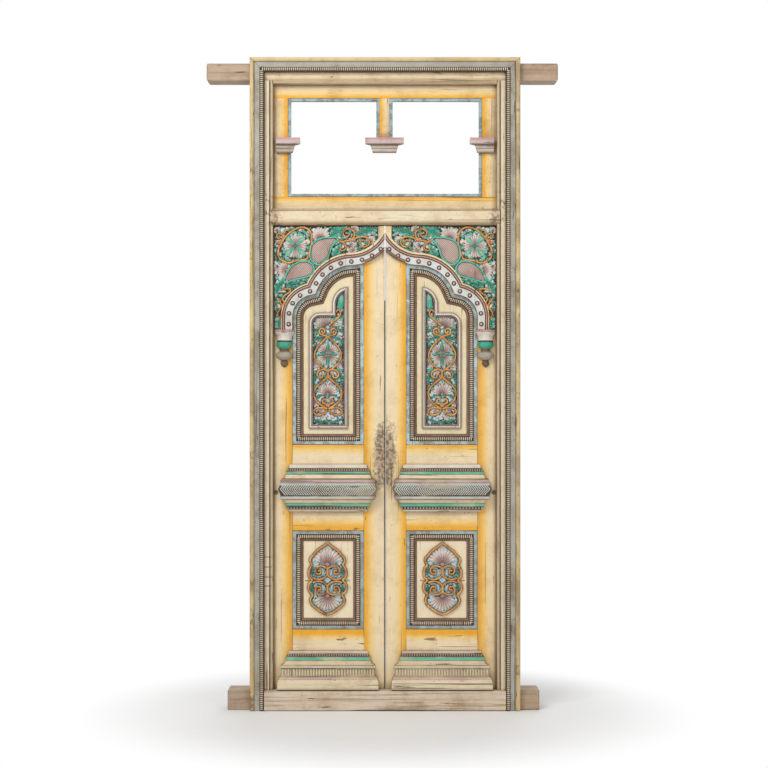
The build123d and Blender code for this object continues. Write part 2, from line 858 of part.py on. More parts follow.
def panel_board(low, high):
    """A panel board with its tongues, as it sits in the grooves."""
    left, right = panel_left - panel_tongue, panel_right + panel_tongue
    return block(left, right, panel_face, panel_back, low - panel_tongue, high + panel_tongue)


upper_top_z = (arch_edges(band_width, panel_right)[0] @ 0).Y
rail_spans = {
    "bottom_rail": (leaf_bottom, lower_z),
    "lock_rail": (lower_top_z, upper_z),
    "top_rail": (upper_top_z, leaf_top),
}
panel_spans = {"lower_panel": (lower_z, lower_top_z), "upper_panel": (upper_z, upper_top_z)}


def without_joinery(piece, x, way):
    """A stile with its mortises and panel grooves cut."""
    for low, high in rail_spans.values():
        piece -= rail_tenon(x, way, low, high)
    for low, high in panel_spans.values():
        piece -= panel_board(low, high)
    return piece


def hanging_stile():
    """The stile that the leaf turns on: round pivots at its ends and a heel rounded about their axis."""
    heel = Cylinder(heel_radius, leaf_top - leaf_bottom)
    stile = block(pivot_x, panel_left, leaf_front, leaf_back, leaf_bottom, leaf_top)
    stile += Pos(pivot_x, pivot_y, (leaf_bottom + leaf_top) / 2) * heel
    foot, head = rebate_floor - pivot_reach, rebate_ceiling + pivot_reach - pivot_end_gap
    for low, high in ((foot, leaf_bottom), (leaf_top, head)):
        stile += Pos(pivot_x, pivot_y, (low + high) / 2) * Cylinder(pivot_radius, high - low)
    return without_joinery(stile, panel_left, -1)


def meeting_stile():
    """The stile at the middle of the doorway."""
    stile = block(panel_right, leaf_inner, leaf_front, leaf_back, leaf_bottom, leaf_top)
    return without_joinery(stile, panel_right, 1)


def rail(name):
    """A rail between the stiles, with a tenon at each end and grooves for the panels."""
    low, high = rail_spans[name]
    piece = block(panel_left, panel_right, leaf_front, leaf_back, low, high)
    for panel_low, panel_high in panel_spans.values():
        piece -= panel_board(panel_low, panel_high)
    return piece + rail_tenon(panel_left, -1, low, high) + rail_tenon(panel_right, 1, low, high)


def pocket_outline(clearance=0.0):
    """The sunk ground of the upper panel's carving."""
    return inner_outline(inner_frame_width + clearance)


def upper_panel():
    """The upper board, sunk where it is carved."""
    return panel_board(*panel_spans["upper_panel"]) - slab(
        pocket_outline(), panel_face + pocket_depth, panel_face - overrun
    )


def inner_frame():
    """The raised fillet round the upper panel's carving."""
    ring = inner_outline(0) - inner_outline(inner_frame_width)
    return slab(ring, panel_face, panel_face - inner_frame_rise)


def upper_carving():
    """The arabesque that stands on the sunk ground."""
    ground = panel_face + pocket_depth
    return relief(arabesque_faces(), pocket_outline(pocket_clearance), ground, carving_low, carving_high)


def cartouche():
    """The carved cartouche on the lower panel."""
    field = lower_outline(moulding_width)
    return relief(cartouche_faces(), field, panel_face, cartouche_low, cartouche_high)


def spandrel():
    """The carved board above the arch."""
    ground = leaf_front - spandrel_board
    board = slab(spandrel_outline(), leaf_front, ground)
    field = spandrel_outline(spandrel_margin)
    return board + relief(spandrel_faces(), field, ground, spandrel_low, spandrel_high)


def arch_band():
    """The flat band of the arch."""
    foot = spring_z - foot_length
    band = arch_outline(0, leaf_inner, foot) - arch_outline(band_width, leaf_inner, foot)
    return slab(band, leaf_front, leaf_front - band_thickness)


def arch_studs():
    """Faceted bosses spaced evenly along the band."""
    foot = spring_z - foot_length
    edges = arch_edges(stud_inset, leaf_inner)
    end = edges[-1] @ 1
    line = Wire(edges + [Line(end, Vector(end.X, foot))])
    front = leaf_front - band_thickness
    studs = []
    for i in range(stud_count):
        point = line @ ((i + 1 / 2) / stud_count)
        rim = [point + toward(360 * k / stud_sides) * (stud_width / 2) for k in range(stud_sides)]
        corners = [Vector(p.X, front, p.Y) for p in rim] + [Vector(point.X, front - stud_rise, point.Y)]
        studs.append(ConvexPolyhedron(corners))
    return Compound(children=studs)


# The pendant's turned line: radius as a share of its radius, drop as a share of its height
pendant_shares = [
    (1.00, 0.00),
    (1.00, 0.07),
    (0.74, 0.15),
    (0.66, 0.28),
    (0.82, 0.34),
    (0.82, 0.42),
    (0.48, 0.48),
    (0.88, 0.60),
    (0.30, 0.72),
    (0.34, 0.80),
    (0.06, 1.00),
]


def pendant():
    """A faceted half drop planted on the stile under the foot of the arch."""
    top = spring_z - foot_length
    right_side = [Vector(r * pendant_radius, top - d * pendant_height) for r, d in pendant_shares]
    left_side = [Vector(-point.X, point.Y) for point in right_side]
    silhouette = slab(polygon(right_side + left_side[::-1]), pendant_radius, -pendant_radius)
    drop_form = silhouette
    for i in range(1, pendant_sides // 2):
        drop_form &= Rot(0, 0, 360 * i / pendant_sides) * silhouette
    front_half = block(-pendant_radius, pendant_radius, -pendant_radius, 0, top - pendant_height, top)
    return Pos(face_left + pendant_radius, leaf_front, 0) * (drop_form & front_half)


# Waist cornice, from its top down: projection as a share of the run, drop as a share of the height
cornice_shares = [
    (0.00, 0.00),
    (0.00, 0.06),
    (0.14, 0.075),
    (0.30, 0.16),
    (0.30, 0.22),
    (0.42, 0.29),
    (0.74, 0.31),
    (0.80, 0.37),
    (0.74, 0.40),
    (1.00, 0.51),
    (0.76, 0.65),
    (0.82, 0.68),
    (0.76, 0.73),
    (0.40, 0.76),
    (0.30, 0.89),
    (0.12, 0.91),
    (0.00, 1.00),
]

# Plinth, in the same way
plinth_shares = [
    (0.00, 0.00),
    (0.06, 0.06),
    (0.10, 0.14),
    (0.26, 0.15),
    (0.28, 0.24),
    (0.38, 0.34),
    (0.66, 0.37),
    (0.72, 0.42),
    (0.62, 0.45),
    (0.68, 0.66),
    (0.84, 0.69),
    (1.00, 0.82),
    (1.00, 1.00),
]


def returned_moulding(shares, top, height, run, base, end_lap):
    """A moulding planted on the leaf whose profile returns round both ends."""
    left, right = panel_left - end_lap, panel_right + end_lap
    outline = [(run * p, top - height * d) for p, d in shares]
    left_side = [Vector(left - p, z) for p, z in outline]
    right_side = [Vector(right + p, z) for p, z in outline]
    front_view = slab(polygon(left_side + right_side[::-1]), leaf_front, leaf_front - base - run)
    nose = [Vector(leaf_front - base - p, z) for p, z in outline]
    wall = [Vector(leaf_front, outline[-1][1]), Vector(leaf_front, outline[0][1])]
    side_plane = Plane(origin=(left - run, 0, 0), x_dir=(0, 1, 0), z_dir=(1, 0, 0))
    side_view = extrude(side_plane * polygon(nose + wall), amount=right - left + 2 * run)
    return front_view & side_view


def waist_cornice():
    """The boldly moulded cornice across the lock rail."""
    top = upper_z - cornice_top_gap
    sizes = (cornice_height, cornice_side_run, cornice_base, cornice_end_lap)
    return returned_moulding(cornice_shares, top, *sizes)


def plinth():
    """The moulded plinth across the bottom rail."""
    top = sill_height + plinth_clearance + plinth_height
    sizes = (plinth_height, plinth_side_run, plinth_base, plinth_end_lap)
    return returned_moulding(plinth_shares, top, *sizes)


def leaf_pieces():
    """Every piece of the left leaf, by name."""
    pieces = {
        "hanging_stile": hanging_stile(),
        "meeting_stile": meeting_stile(),
        "upper_panel": upper_panel(),
        "lower_panel": panel_board(*panel_spans["lower_panel"]),
        "upper_moulding": sunk_moulding(panel_outline),
        "lower_moulding": sunk_moulding(lower_outline),
        "inner_frame": inner_frame(),
        "upper_carving": upper_carving(),
        "cartouche": cartouche(),
        "spandrel": spandrel(),
        "arch_band": arch_band(),
        "arch_studs": arch_studs(),
        "pendant": pendant(),
        "waist_cornice": waist_cornice(),
        "plinth": plinth(),
    }
    for name in rail_spans:
        pieces[name] = rail(name)
    return pieces


def frame_pieces():
    """Every piece of the frame and the light, by name."""
    post, upright, corbel = left_post(), left_architrave(), side_bracket()
    light_stile = block(-rebate_x, light_left, light_front, light_back, light_low, light_high)
    return {
        "sill": sill(),
        "lintel": lintel(),
        "left_jamb": post,
        "right_jamb": mirror(post, about=Plane.YZ),
        "left_architrave": upright,
        "right_architrave": mirror(upright, about=Plane.YZ),
        "head_architrave": head_architrave(),
        "transom_bar": transom_bar(),
        "light_top_rail": block(-rebate_x, rebate_x, light_front, light_back, light_high, lintel_bottom),
        "light_bottom_rail": block(-rebate_x, rebate_x, light_front, light_back, light_bottom, light_low),
        "light_left_stile": light_stile,
        "light_right_stile": mirror(light_stile, about=Plane.YZ),
        "light_mullion": block(
            mullion_left, mullion_right, light_front, light_back, mullion_foot, light_high
        ),
        "light_beads": light_bead_strips(),
        "left_bracket": corbel,
        "right_bracket": mirror(corbel, about=Plane.YZ),
        "middle_bracket": middle_bracket(),
    }


def write(name, shape):
    """One STEP file for one piece, which may be a group of like solids."""
    solids = shape.solids()
    export_step(solids[0] if len(solids) == 1 else Compound(solids), os.path.join("parts", name + ".step"))


def main():
    """Builds every piece and writes its file."""
    os.makedirs("parts", exist_ok=True)
    for name, shape in frame_pieces().items():
        write(name, shape)
    for name, shape in leaf_pieces().items():
        write("left_" + name, shape)
        write("right_" + name, mirror(shape, about=Plane.YZ))


main()
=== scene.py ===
"""A carved and painted double door in its frame: the looks, built around its CAD solids.

Sizes inside the functions are millimetres: X along the wall, Z up, and the carved front faces -Y.
"""

import math
import random

import bmesh
import bpy
from bpy.props import FloatProperty, FloatVectorProperty, PointerProperty
from bpy.types import Operator, Panel, PropertyGroup
from mathutils import Matrix, Vector


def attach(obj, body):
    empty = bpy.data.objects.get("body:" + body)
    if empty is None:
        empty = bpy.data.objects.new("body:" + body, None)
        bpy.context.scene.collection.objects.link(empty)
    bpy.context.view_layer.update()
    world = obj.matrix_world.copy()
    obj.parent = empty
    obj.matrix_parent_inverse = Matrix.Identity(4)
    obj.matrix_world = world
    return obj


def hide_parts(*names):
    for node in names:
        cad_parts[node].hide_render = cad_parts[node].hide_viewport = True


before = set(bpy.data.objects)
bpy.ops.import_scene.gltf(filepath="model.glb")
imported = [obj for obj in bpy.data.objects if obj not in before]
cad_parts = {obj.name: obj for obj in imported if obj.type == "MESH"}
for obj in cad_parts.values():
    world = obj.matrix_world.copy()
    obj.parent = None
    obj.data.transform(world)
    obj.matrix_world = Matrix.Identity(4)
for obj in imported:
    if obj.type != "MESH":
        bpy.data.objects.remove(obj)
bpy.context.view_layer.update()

MM = 0.001
LEAVES = ("left", "right")

bl_info = {
    "name": "Carved double door",
    "version": (1, 0, 0),
    "blender": (4, 5, 0),
    "location": "3D View > Sidebar > Door",
    "description": "Dresses the solids of a carved and painted double door",
    "category": "Object",
}


# Sizes and colours


def linear(red, green, blue):
    """A colour as it is read on a screen, from 0 to 255, as light."""
    shares = [level / 255 for level in (red, green, blue)]
    return tuple(s / 12.92 if s <= 0.04045 else ((s + 0.055) / 1.055) ** 2.4 for s in shares)


def length(name, description, millimetres):
    """A length that a user may change."""
    return FloatProperty(
        name=name, description=description, default=millimetres * MM, min=0.0, unit="LENGTH", precision=4
    )


def tint(name, description, red, green, blue):
    """A colour that a user may change."""
    return FloatVectorProperty(
        name=name, description=description, default=linear(red, green, blue), min=0.0, max=1.0, subtype="COLOR"
    )


class DoorSizes(PropertyGroup):
    """Sizes of the small repeated work."""

    edge_wear: length("Edge wear", "Rounding of worn edges", 1.3)
    bead_pitch: length("Bead pitch", "Step from bead to bead along the mouldings", 7.7)
    bead_width: length("Bead width", "Width of a bead across its row", 17.0)
    bead_rise: length("Bead rise", "How far a bead stands out", 4.2)
    dentil_pitch: length("Dentil pitch", "Step from dentil to dentil", 9.4)
    hanging_dentil_pitch: length("Hanging dentil pitch", "Step of the dentils under the cornice", 12.5)
    chevron_pitch: length("Chevron pitch", "Step from bar to bar on the cornice", 9.2)
    reed_pitch: length("Reed pitch", "Step from reed to reed on the plinth", 11.4)
    border_roll: length("Border roll", "Radius of the rolls that edge the arch", 2.0)
    stem_width: length("Stem width", "Width of the carved stems", 7.6)
    # This reach is how far the soiling and the painted shade of the corners spread out.
    dirt_and_shade_reach: length("Dirt reach", "How far out of a corner old dirt lies", 7.5)


class DoorColours(PropertyGroup):
    """Paints and woods."""

    cream: tint("Cream", "Ground coat of stiles and rails", 243, 222, 182)
    field: tint("Field", "Coat of the upper panels", 240, 226, 188)
    orange: tint("Orange", "Shading beside the mouldings", 243, 176, 46)
    yellow: tint("Yellow", "Where the orange fades into the cream", 247, 208, 124)
    stem: tint("Stem", "Carved stems and scrolls", 214, 146, 72)
    teal: tint("Teal", "Carved leaves and stripes", 64, 172, 142)
    blue: tint("Blue", "Beads of the light", 162, 188, 194)
    pink: tint("Pink", "Inner frame and pendants", 206, 160, 156)
    white: tint("White", "Arch band", 222, 222, 218)
    brown: tint("Brown", "Borders and moulding toes", 124, 92, 72)
    grey: tint("Grey", "Architrave band", 178, 176, 164)
    bead: tint("Bead", "Beads of the mouldings", 226, 208, 180)
    # Dark is soiling and painted shade in the corners, painted shadow in the joint between the leaves, and the mitre
    # lines.
    dark: tint("Dark", "Deep recesses and dirt", 40, 30, 24)
    sand: tint("Sand", "Architrave roll", 206, 184, 140)
    wood: tint("Wood", "Bare weathered wood", 186, 164, 140)
    # Tan is stains and flaked wood, and painted shade: on faces further back, beside the jambs and the architrave, on
    # the lintel's lower strip, under the lintel's lip and the waist cornice, and round the pendant.
    tan: tint("Tan", "Aged varnish in the corners", 150, 122, 86)


# Lines of the door, as points along X and Z, heights and depths

FOOT, FOOT_RADIUS = Vector((-281.0, 1572.0)), 133.0
CROWN, CROWN_RADIUS = Vector((-128.0, 1626.0)), 197.0
APEX, OGEE_RADIUS = Vector((0.0, 1915.0)), 155.0
SHOULDER, SHOULDER_RADIUS = Vector((-262.0, 1547.0)), 45.0
NECK, NECK_RADIUS = Vector((-143.0, 1626.0)), 70.0
BAND_WIDTH, STUD_INSET, FIELD_INSET = 42.0, 28.0, 65.0
MEETING_X = -2.0
BAND_FOOT = 1522.0
PANEL_LEFT, PANEL_RIGHT = -372.0, -84.0
UPPER_Z, LOWER_Z, LOWER_TOP = 1059.0, 318.0, 716.0
FACE_LEFT, SPANDREL_TOP = -446.0, 1937.0
LEAF_FRONT, PANEL_FACE, POCKET_FLOOR, BOARD_FRONT, BAND_FRONT = 30.0, 48.0, 54.0, 20.0, 14.0
ARC_STEPS = 14
LIGHT_SIDE, LIGHT_FOOT, LIGHT_MIDDLE, LIGHT_TOP = 388.0, 2058.0, 2305.0, 2450.0
PEG_X, PEG_Z = 437.0, 869.0
# Depths behind which the wood is bare
JAMB_BARE, LEAF_BARE, PANEL_BARE, LIGHT_BARE = 72.0, 62.0, 57.0, 52.0


# Materials


class Term:
    """A value in a node tree that can stand in a sum."""

    def __init__(self, nodes, socket):
        self.nodes, self.socket = nodes, socket

    def maths(self, operation, *others):
        return self.nodes.maths(operation, self, *others)

    def __add__(self, other):
        return self.maths("ADD", other)

    def __sub__(self, other):
        return self.maths("SUBTRACT", other)

    def __rsub__(self, other):
        return self.nodes.maths("SUBTRACT", other, self)

    def __mul__(self, other):
        return self.maths("MULTIPLY", other)

    def __truediv__(self, other):
        return self.maths("DIVIDE", other)

    def __abs__(self):
        return self.maths("ABSOLUTE")

    __radd__ = __add__
    __rmul__ = __mul__


class Nodes:
    """A node tree, with the one method that adds its nodes and a few that use it."""

    def __init__(self, tree):
        self.tree = tree

    def node(self, kind, settings=None, sockets=None, output=0):
        """Adds a node, sets it up, then gives its sockets their values or links."""
        made = self.tree.nodes.new(kind)
        for key, value in (settings or {}).items():
            if key == "stops":
                stops = made.color_ramp.elements
                for i, (share, colour) in enumerate(value):
                    stop = stops[i] if i < len(stops) else stops.new(share)
                    stop.position, stop.color = share, (*colour, 1)
            elif key == "interpolation":
                made.color_ramp.interpolation = value
            else:
                setattr(made, key, value)
        for key, value in (sockets or {}).items():
            socket = made.inputs[key]
            if isinstance(value, Term):
                self.tree.links.new(value.socket, socket)
            elif socket.type == "RGBA":
                socket.default_value = (*value[:3], 1)
            else:
                socket.default_value = value
        return Term(self, made.outputs[output])

    def maths(self, operation, *values):
        """A Math node on values."""
        return self.node("ShaderNodeMath", {"operation": operation}, dict(enumerate(values)))

    def seen(self):
        """1 for the rays that look at a surface or at its reflection, 0 for those that only gather light."""
        kinds = ("Is Camera Ray", "Is Glossy Ray", "Is Transmission Ray")
        rays = [self.node("ShaderNodeLightPath", output=kind) for kind in kinds]
        return rays[0].maths("MAXIMUM", rays[1].maths("MAXIMUM", rays[2]))


class Finish(Nodes):
    """A material on Object coordinates, in millimetres."""

    def __init__(self, name, roughness=0.62):
        self.material = bpy.data.materials.new(name)
        self.material.use_nodes = True
        super().__init__(self.material.node_tree)
        self.shader = self.tree.nodes["Principled BSDF"]
        self.shader.inputs["Roughness"].default_value = roughness
        self.place = self.node("ShaderNodeTexCoord", output="Object")
        axes = [self.node("ShaderNodeSeparateXYZ", {}, {0: self.place}, axis) for axis in "XYZ"]
        self.x, self.y, self.z = [axis * (1 / MM) for axis in axes]
        self.side = abs(self.x)

    def mix(self, share, first, second, blend="MIX"):
        """Two colours mixed by a share."""
        settings = {"data_type": "RGBA", "blend_type": blend}
        return self.node("ShaderNodeMix", settings, {0: share, 6: first, 7: second}, 2)

    def ramp(self, value, low, high):
        """0 where a value is at low, 1 at high, with soft ends."""
        settings = {"interpolation_type": "SMOOTHSTEP", "clamp": True}
        return self.node("ShaderNodeMapRange", settings, {0: value, 1: low, 2: high, 3: 0.0, 4: 1.0})

    def between(self, value, low, high, soft):
        """1 where a value lies between two limits."""
        return self.ramp(value, low - soft, low + soft) * self.ramp(value, high + soft, high - soft)

    def noise(self, scale, detail=3.0, stretch=(1, 1, 1), rough=0.55):
        """Soft noise from 0 to 1, stretched along an axis by a number under 1."""
        settings = {"operation": "MULTIPLY"}
        spot = self.node("ShaderNodeVectorMath", settings, {0: self.place, 1: stretch})
        sockets = {"Vector": spot, "Scale": scale, "Detail": detail, "Roughness": rough}
        return self.node("ShaderNodeTexNoise", {}, sockets)

    def patches(self, low, high, *shape, **more):
        """Soft patches: 0 where a noise is at low, 1 at high."""
        return self.ramp(self.noise(*shape, **more), low, high)

    def stripes(self, value, low, high, rows):
        """Level bands of colour: rows of (where each starts, colour), from low to high."""
        stops = [((start - low) / (high - low), colour) for start, colour in rows]
        settings = {"stops": stops, "interpolation": "CONSTANT"}
        return self.node("ShaderNodeValToRGB", settings, {0: (value - low) / (high - low)})

    def age(self, colour, along="z", wear=0.4, grime_and_shade=0.5, relief=1.0):
        """Lays a coat of old paint: grain, soiling and painted shade in the corners, flaked spots and cracks."""
        colours, reach = bpy.context.scene.door_colours, bpy.context.scene.door_sizes.dirt_and_shade_reach

        def run(share):
            return (share, 1, 1) if along == "x" else (1, 1, share)

        grain = self.noise(300, 3, run(0.05))
        crack = self.noise(130, 2, run(0.012))
        cloud = self.noise(11, 10, rough=0.68)
        speck = self.noise(52, 9, rough=0.72)
        open_air = self.node("ShaderNodeAmbientOcclusion", {"samples": 6}, {"Distance": reach}, "AO")
        flaked = self.ramp(speck + 0.22 * grain, 0.835 - 0.1 * wear, 0.875 - 0.1 * wear)
        scratch = self.noise(70, 4, run(0.09))
        pit = self.noise(150, 3, run(0.5))
        marks = [(crack, 0.715 - 0.09 * wear), (scratch, 0.71 - 0.075 * wear), (pit, 0.735 - 0.075 * wear)]
        marks = [self.ramp(mark, level, level + 0.035) for mark, level in marks]
        deepest = marks[0].maths("MAXIMUM", marks[1].maths("MAXIMUM", marks[2]))
        cracked = deepest * min(0.8, 2 * wear)
        soiled = self.ramp(cloud, 0.42, 0.75) * grime_and_shade
        colour = self.mix(soiled, colour, self.mix(1.0, colour, linear(205, 186, 156), "MULTIPLY"))
        streaked = self.ramp(grain, 0.45, 0.8) * (0.5 * grime_and_shade)
        colour = self.mix(streaked, colour, self.mix(1.0, colour, linear(190, 170, 140), "MULTIPLY"))
        colour = self.mix(flaked * 0.85, colour, self.mix(grain, tuple(colours.wood), tuple(colours.tan)))
        colour = self.mix(cracked, colour, linear(66, 50, 38))
        # Soiling and painted shade in the corners: darker where ambient occlusion finds the surface closed in.
        corner = self.ramp(open_air + 0.2 * speck, 0.90, 0.42)
        dirt_and_shade = self.mix(corner, linear(120, 92, 66), tuple(colours.dark))
        colour = self.mix(corner * min(0.9, 0.45 + grime_and_shade), colour, dirt_and_shade)
        self.lay(colour, 0.3 * grain - 0.7 * flaked - cracked, relief, 0.56 + 0.2 * speck)

    def lay(self, colour, height, relief, roughness):
        """Joins a colour, a bump height and a roughness to the shader."""
        sockets = {"Height": height, "Strength": 0.35 * relief, "Distance": 0.0012}
        bump = self.node("ShaderNodeBump", {}, sockets)
        for name, term in (("Base Color", colour), ("Normal", bump), ("Roughness", roughness)):
            self.tree.links.new(term.socket, self.shader.inputs[name])


def painted(name, coat, zones=None, along="z", wear=0.4, grime_and_shade=0.5, relief=1.0, bare_from=None):
    """A painted finish: a coat, then zones of other colours over it, bare wood behind a depth, then age."""
    finish = Finish(name)
    colour = coat
    for share, over in zones(finish) if zones else ():
        colour = finish.mix(share, colour, over)
    if bare_from:
        wood = tuple(bpy.context.scene.door_colours.wood)
        colour = finish.mix(finish.ramp(finish.y, bare_from, bare_from + 2), colour, wood)
    finish.age(colour, along, wear, grime_and_shade, relief)


def mix_frame_paints(c):
    """Finishes of the frame and the light."""

    def trodden(f):
        return [
            (f.patches(0.50, 0.66, 5, 5) * 0.5, linear(206, 186, 158)),
            (f.patches(0.58, 0.70, 9, 4, (0.3, 1, 1)) * 0.45, linear(222, 192, 124)),
            (f.patches(0.58, 0.72, 7, 4, (0.3, 1, 2)) * 0.35, linear(196, 156, 146)),
            (f.ramp(f.side, 520, 545) * 0.75, linear(164, 140, 116)),
            (f.patches(0.5, 0.62, 90, 6, (0.03, 1, 1), 0.65) * 0.5, linear(138, 114, 92)),
        ]

    def head_beam(f):
        indoors = f.ramp(f.side, 520, 500)
        return [
            (f.patches(0.48, 0.6, 90, 6, (0.03, 1, 1), 0.65) * 0.6, linear(142, 116, 96)),
            (f.patches(0.55, 0.66, 14, 5, (0.3, 1, 1)) * 0.5, linear(200, 166, 148)),
            (indoors, c.cream),
            # Painted shade on the faces further back and on the lower, sloping strip of the head.
            (f.ramp(f.y, 8, 24) * indoors * 0.7, c.tan),
            (f.ramp(f.z, 2534, 2520) * indoors * 0.6, c.tan),
        ]

    def architrave(f):
        upright, level = 540 - f.side, 2608 - f.z
        depth, worn = upright.maths("MINIMUM", level), 1 - 0.7 * f.ramp(upright - level, 0, 4)
        grey = f.ramp(depth, 17.0, 19.0)
        return [
            (f.patches(0.48, 0.62, 9, 6, (0.6, 1, 0.6)) * 0.8, linear(234, 206, 144)),
            (f.patches(0.50, 0.60, 24, 7, (0.3, 1, 0.3)) * worn * 0.6, linear(158, 136, 106)),
            (f.patches(0.56, 0.63, 36, 8, (0.25, 1, 0.25), 0.7) * worn * 0.75, linear(112, 92, 70)),
            (grey, c.grey),
            (grey * f.patches(0.48, 0.58, 18, 8, (0.4, 1, 0.4), 0.68) * worn * 0.6, linear(138, 128, 112)),
            (f.between(depth, 18.0, 19.5, 0.6), linear(110, 96, 80)),
            (f.ramp(depth, 38.5, 40.0), linear(66, 52, 42)),
            # Painted shade on the faces further back.
            (f.ramp(f.y, -16, -6) * 0.5, linear(150, 132, 108)),
            (f.between(upright - level, -1.2, 1.2, 0.5) * 0.7, c.dark),
        ]

    def jamb(f):
        cuts = [f.between(f.z, height - 1.5, height + 1.5, 1.0) for height in (496, 532, 572, 612)]
        cut = sum(cuts[1:], cuts[0]) * f.ramp(f.x, -452, -454)
        split = f.between(f.x, -480, -470, 2) * f.ramp(f.z, 270, 200)
        split *= f.patches(0.52, 0.6, 60, 4, (1, 1, 0.04))
        return [
            # Painted shade beside the architrave, on the lip by the leaf, in the quirk and on the faces further back.
            (f.ramp(f.side, 476, 484) * 0.25, c.tan),
            (f.ramp(f.side, 462, 456) * 0.5, c.tan),
            (f.between(f.side, 457.5, 461.5, 0.8) * 0.8, linear(96, 76, 56)),
            (f.ramp(f.y, 4, 24) * 0.7, c.tan),
            (f.patches(0.60, 0.66, 60, 7, (1, 1, 0.06), 0.7) * 0.7, linear(104, 82, 62)),
            (f.between(f.z, 1930, 2070, 40) * f.patches(0.52, 0.58, 45, 9, rough=0.75) * 0.7, linear(110, 90, 68)),
            (cut * 0.85 + split, linear(70, 54, 42)),
        ]

    def bar(f):
        gouge = f.patches(0.66, 0.70, 34, 5, (0.5, 1, 1)) * f.between(f.z, 1962, 1994, 4)
        return [
            # Painted shade on the lower nose and in the groove along the top.
            (f.ramp(f.z, 1962, 1946) * 0.75, linear(156, 128, 92)),
            (f.between(f.z, 1996, 2009, 1.2) * 0.5, linear(150, 124, 92)),
            (f.between(f.z, 1996, 1998.5, 0.6) * 0.7, linear(84, 66, 50)),
            (f.patches(0.45, 0.7, 4, 4, (0.5, 1, 1)) * 0.4, linear(226, 190, 130)),
            # Painted shade towards the jambs.
            (f.ramp(f.side, 420, 448) * 0.4, c.tan),
            (f.ramp(f.side, 390, 448) * f.patches(0.48, 0.56, 45, 9, rough=0.75) * 0.8, linear(110, 90, 68)),
            (gouge * 0.8, linear(96, 72, 52)),
        ]

    def light_rail(f):
        upper = f.ramp(f.z, LIGHT_MIDDLE - 5, LIGHT_MIDDLE + 5)
        lower = 1 - upper
        return [
            (f.ramp(f.z, LIGHT_TOP + 40, LIGHT_TOP + 16) * upper * 0.8, c.yellow),
            (f.ramp(f.z, LIGHT_TOP + 20, LIGHT_TOP + 6) * upper * 0.9, c.orange),
            (f.ramp(f.z, LIGHT_FOOT - 38, LIGHT_FOOT - 16) * lower * 0.8, c.yellow),
            (f.ramp(f.z, LIGHT_FOOT - 20, LIGHT_FOOT - 6) * lower * 0.9, c.orange),
            # Painted shadow under the lintel's lip, and painted shade beside the jambs.
            (f.ramp(f.z, LIGHT_TOP + 36, LIGHT_TOP + 64) * 0.75, c.tan),
            (f.ramp(f.side, LIGHT_SIDE + 36, LIGHT_SIDE + 58) * 0.5, c.tan),
        ]

    def light_stile(f):
        return [
            (f.ramp(f.side, LIGHT_SIDE + 44, LIGHT_SIDE + 20) * 0.8, c.yellow),
            (f.ramp(f.side, LIGHT_SIDE + 24, LIGHT_SIDE + 10) * 0.9, c.orange),
            # Painted shade beside the jamb.
            (f.ramp(f.side, LIGHT_SIDE + 36, LIGHT_SIDE + 58) * 0.6, c.tan),
        ]

    def mullion(f):
        return [
            (f.ramp(f.x, 10, -8) * 0.8, c.yellow),
            (f.ramp(f.x, -6, -16) * 0.9, c.orange),
            (f.ramp(f.z, 2320, 2292) * 0.5, c.tan),
            (f.ramp(f.x, 0, 16) * 0.3, c.tan),
        ]

    def blue_bead(f):
        seam = linear(104, 92, 78)
        return [
            (f.patches(0.45, 0.7, 10, 4) * 0.6, linear(186, 188, 178)),
            (f.patches(0.46, 0.56, 30, 8, rough=0.7) * 0.7, linear(124, 124, 114)),
            # Painted shade on the faces further back.
            (f.ramp(f.y, 32, 40) * 0.6, linear(120, 112, 96)),
            (f.ramp(f.side, LIGHT_SIDE - 1, LIGHT_SIDE + 1) * 0.8, seam),
            (f.ramp(f.z, LIGHT_TOP - 1, LIGHT_TOP + 1) * 0.8, seam),
            (f.ramp(f.z, LIGHT_FOOT + 0.5, LIGHT_FOOT - 1.5) * 0.8, seam),
        ]

    def bracket(f):
        return [
            (f.ramp(f.z, 2263, 2267), linear(208, 188, 184)),
            (f.patches(0.5, 0.6, 30, 7, (0.4, 1, 1), 0.65) * 0.6, linear(164, 148, 136)),
            (f.ramp(f.z, 2274, 2284) * 0.8, linear(204, 150, 158)),
            (f.between(f.z, 2258, 2264, 0.8) * 0.8, linear(110, 86, 74)),
            (f.between(f.z, 2245, 2248.5, 0.8) * 0.7, linear(120, 98, 82)),
            (f.ramp(f.z, 2240, 2232) * 0.8, linear(130, 108, 88)),
            # Painted shade on the faces further back.
            (f.ramp(f.y, 0, 28) * 0.45, c.tan),
        ]

    painted("sill wood", linear(222, 204, 182), trodden, "x", 0.55, 0.8, 1.6)
    painted("beam wood", c.wood, head_beam, "x", 0.7, 0.8, 1.6)
    painted("upright architrave", c.sand, architrave, "z", 0.85, 0.6)
    painted("head architrave", linear(226, 202, 156), architrave, "x", 0.7, 0.4)
    painted("jamb cream", linear(240, 224, 192), jamb, "z", 0.55, 0.45, bare_from=JAMB_BARE)
    painted("bar cream", linear(238, 222, 190), bar, "x", 0.7, 0.5, bare_from=LEAF_BARE)
    painted("light rail", linear(236, 214, 174), light_rail, "x", 0.5, 0.6, bare_from=LIGHT_BARE)
    painted("light stile", linear(234, 210, 168), light_stile, "z", 0.5, 0.7, bare_from=LIGHT_BARE)
    painted("mullion", linear(236, 214, 174), mullion, "z", 0.6, 0.7, bare_from=LIGHT_BARE)
    painted("light bead", c.blue, blue_bead, "x", 0.6, 0.6)
    painted("bracket", linear(222, 210, 198), bracket, "x", 0.6, 0.7)


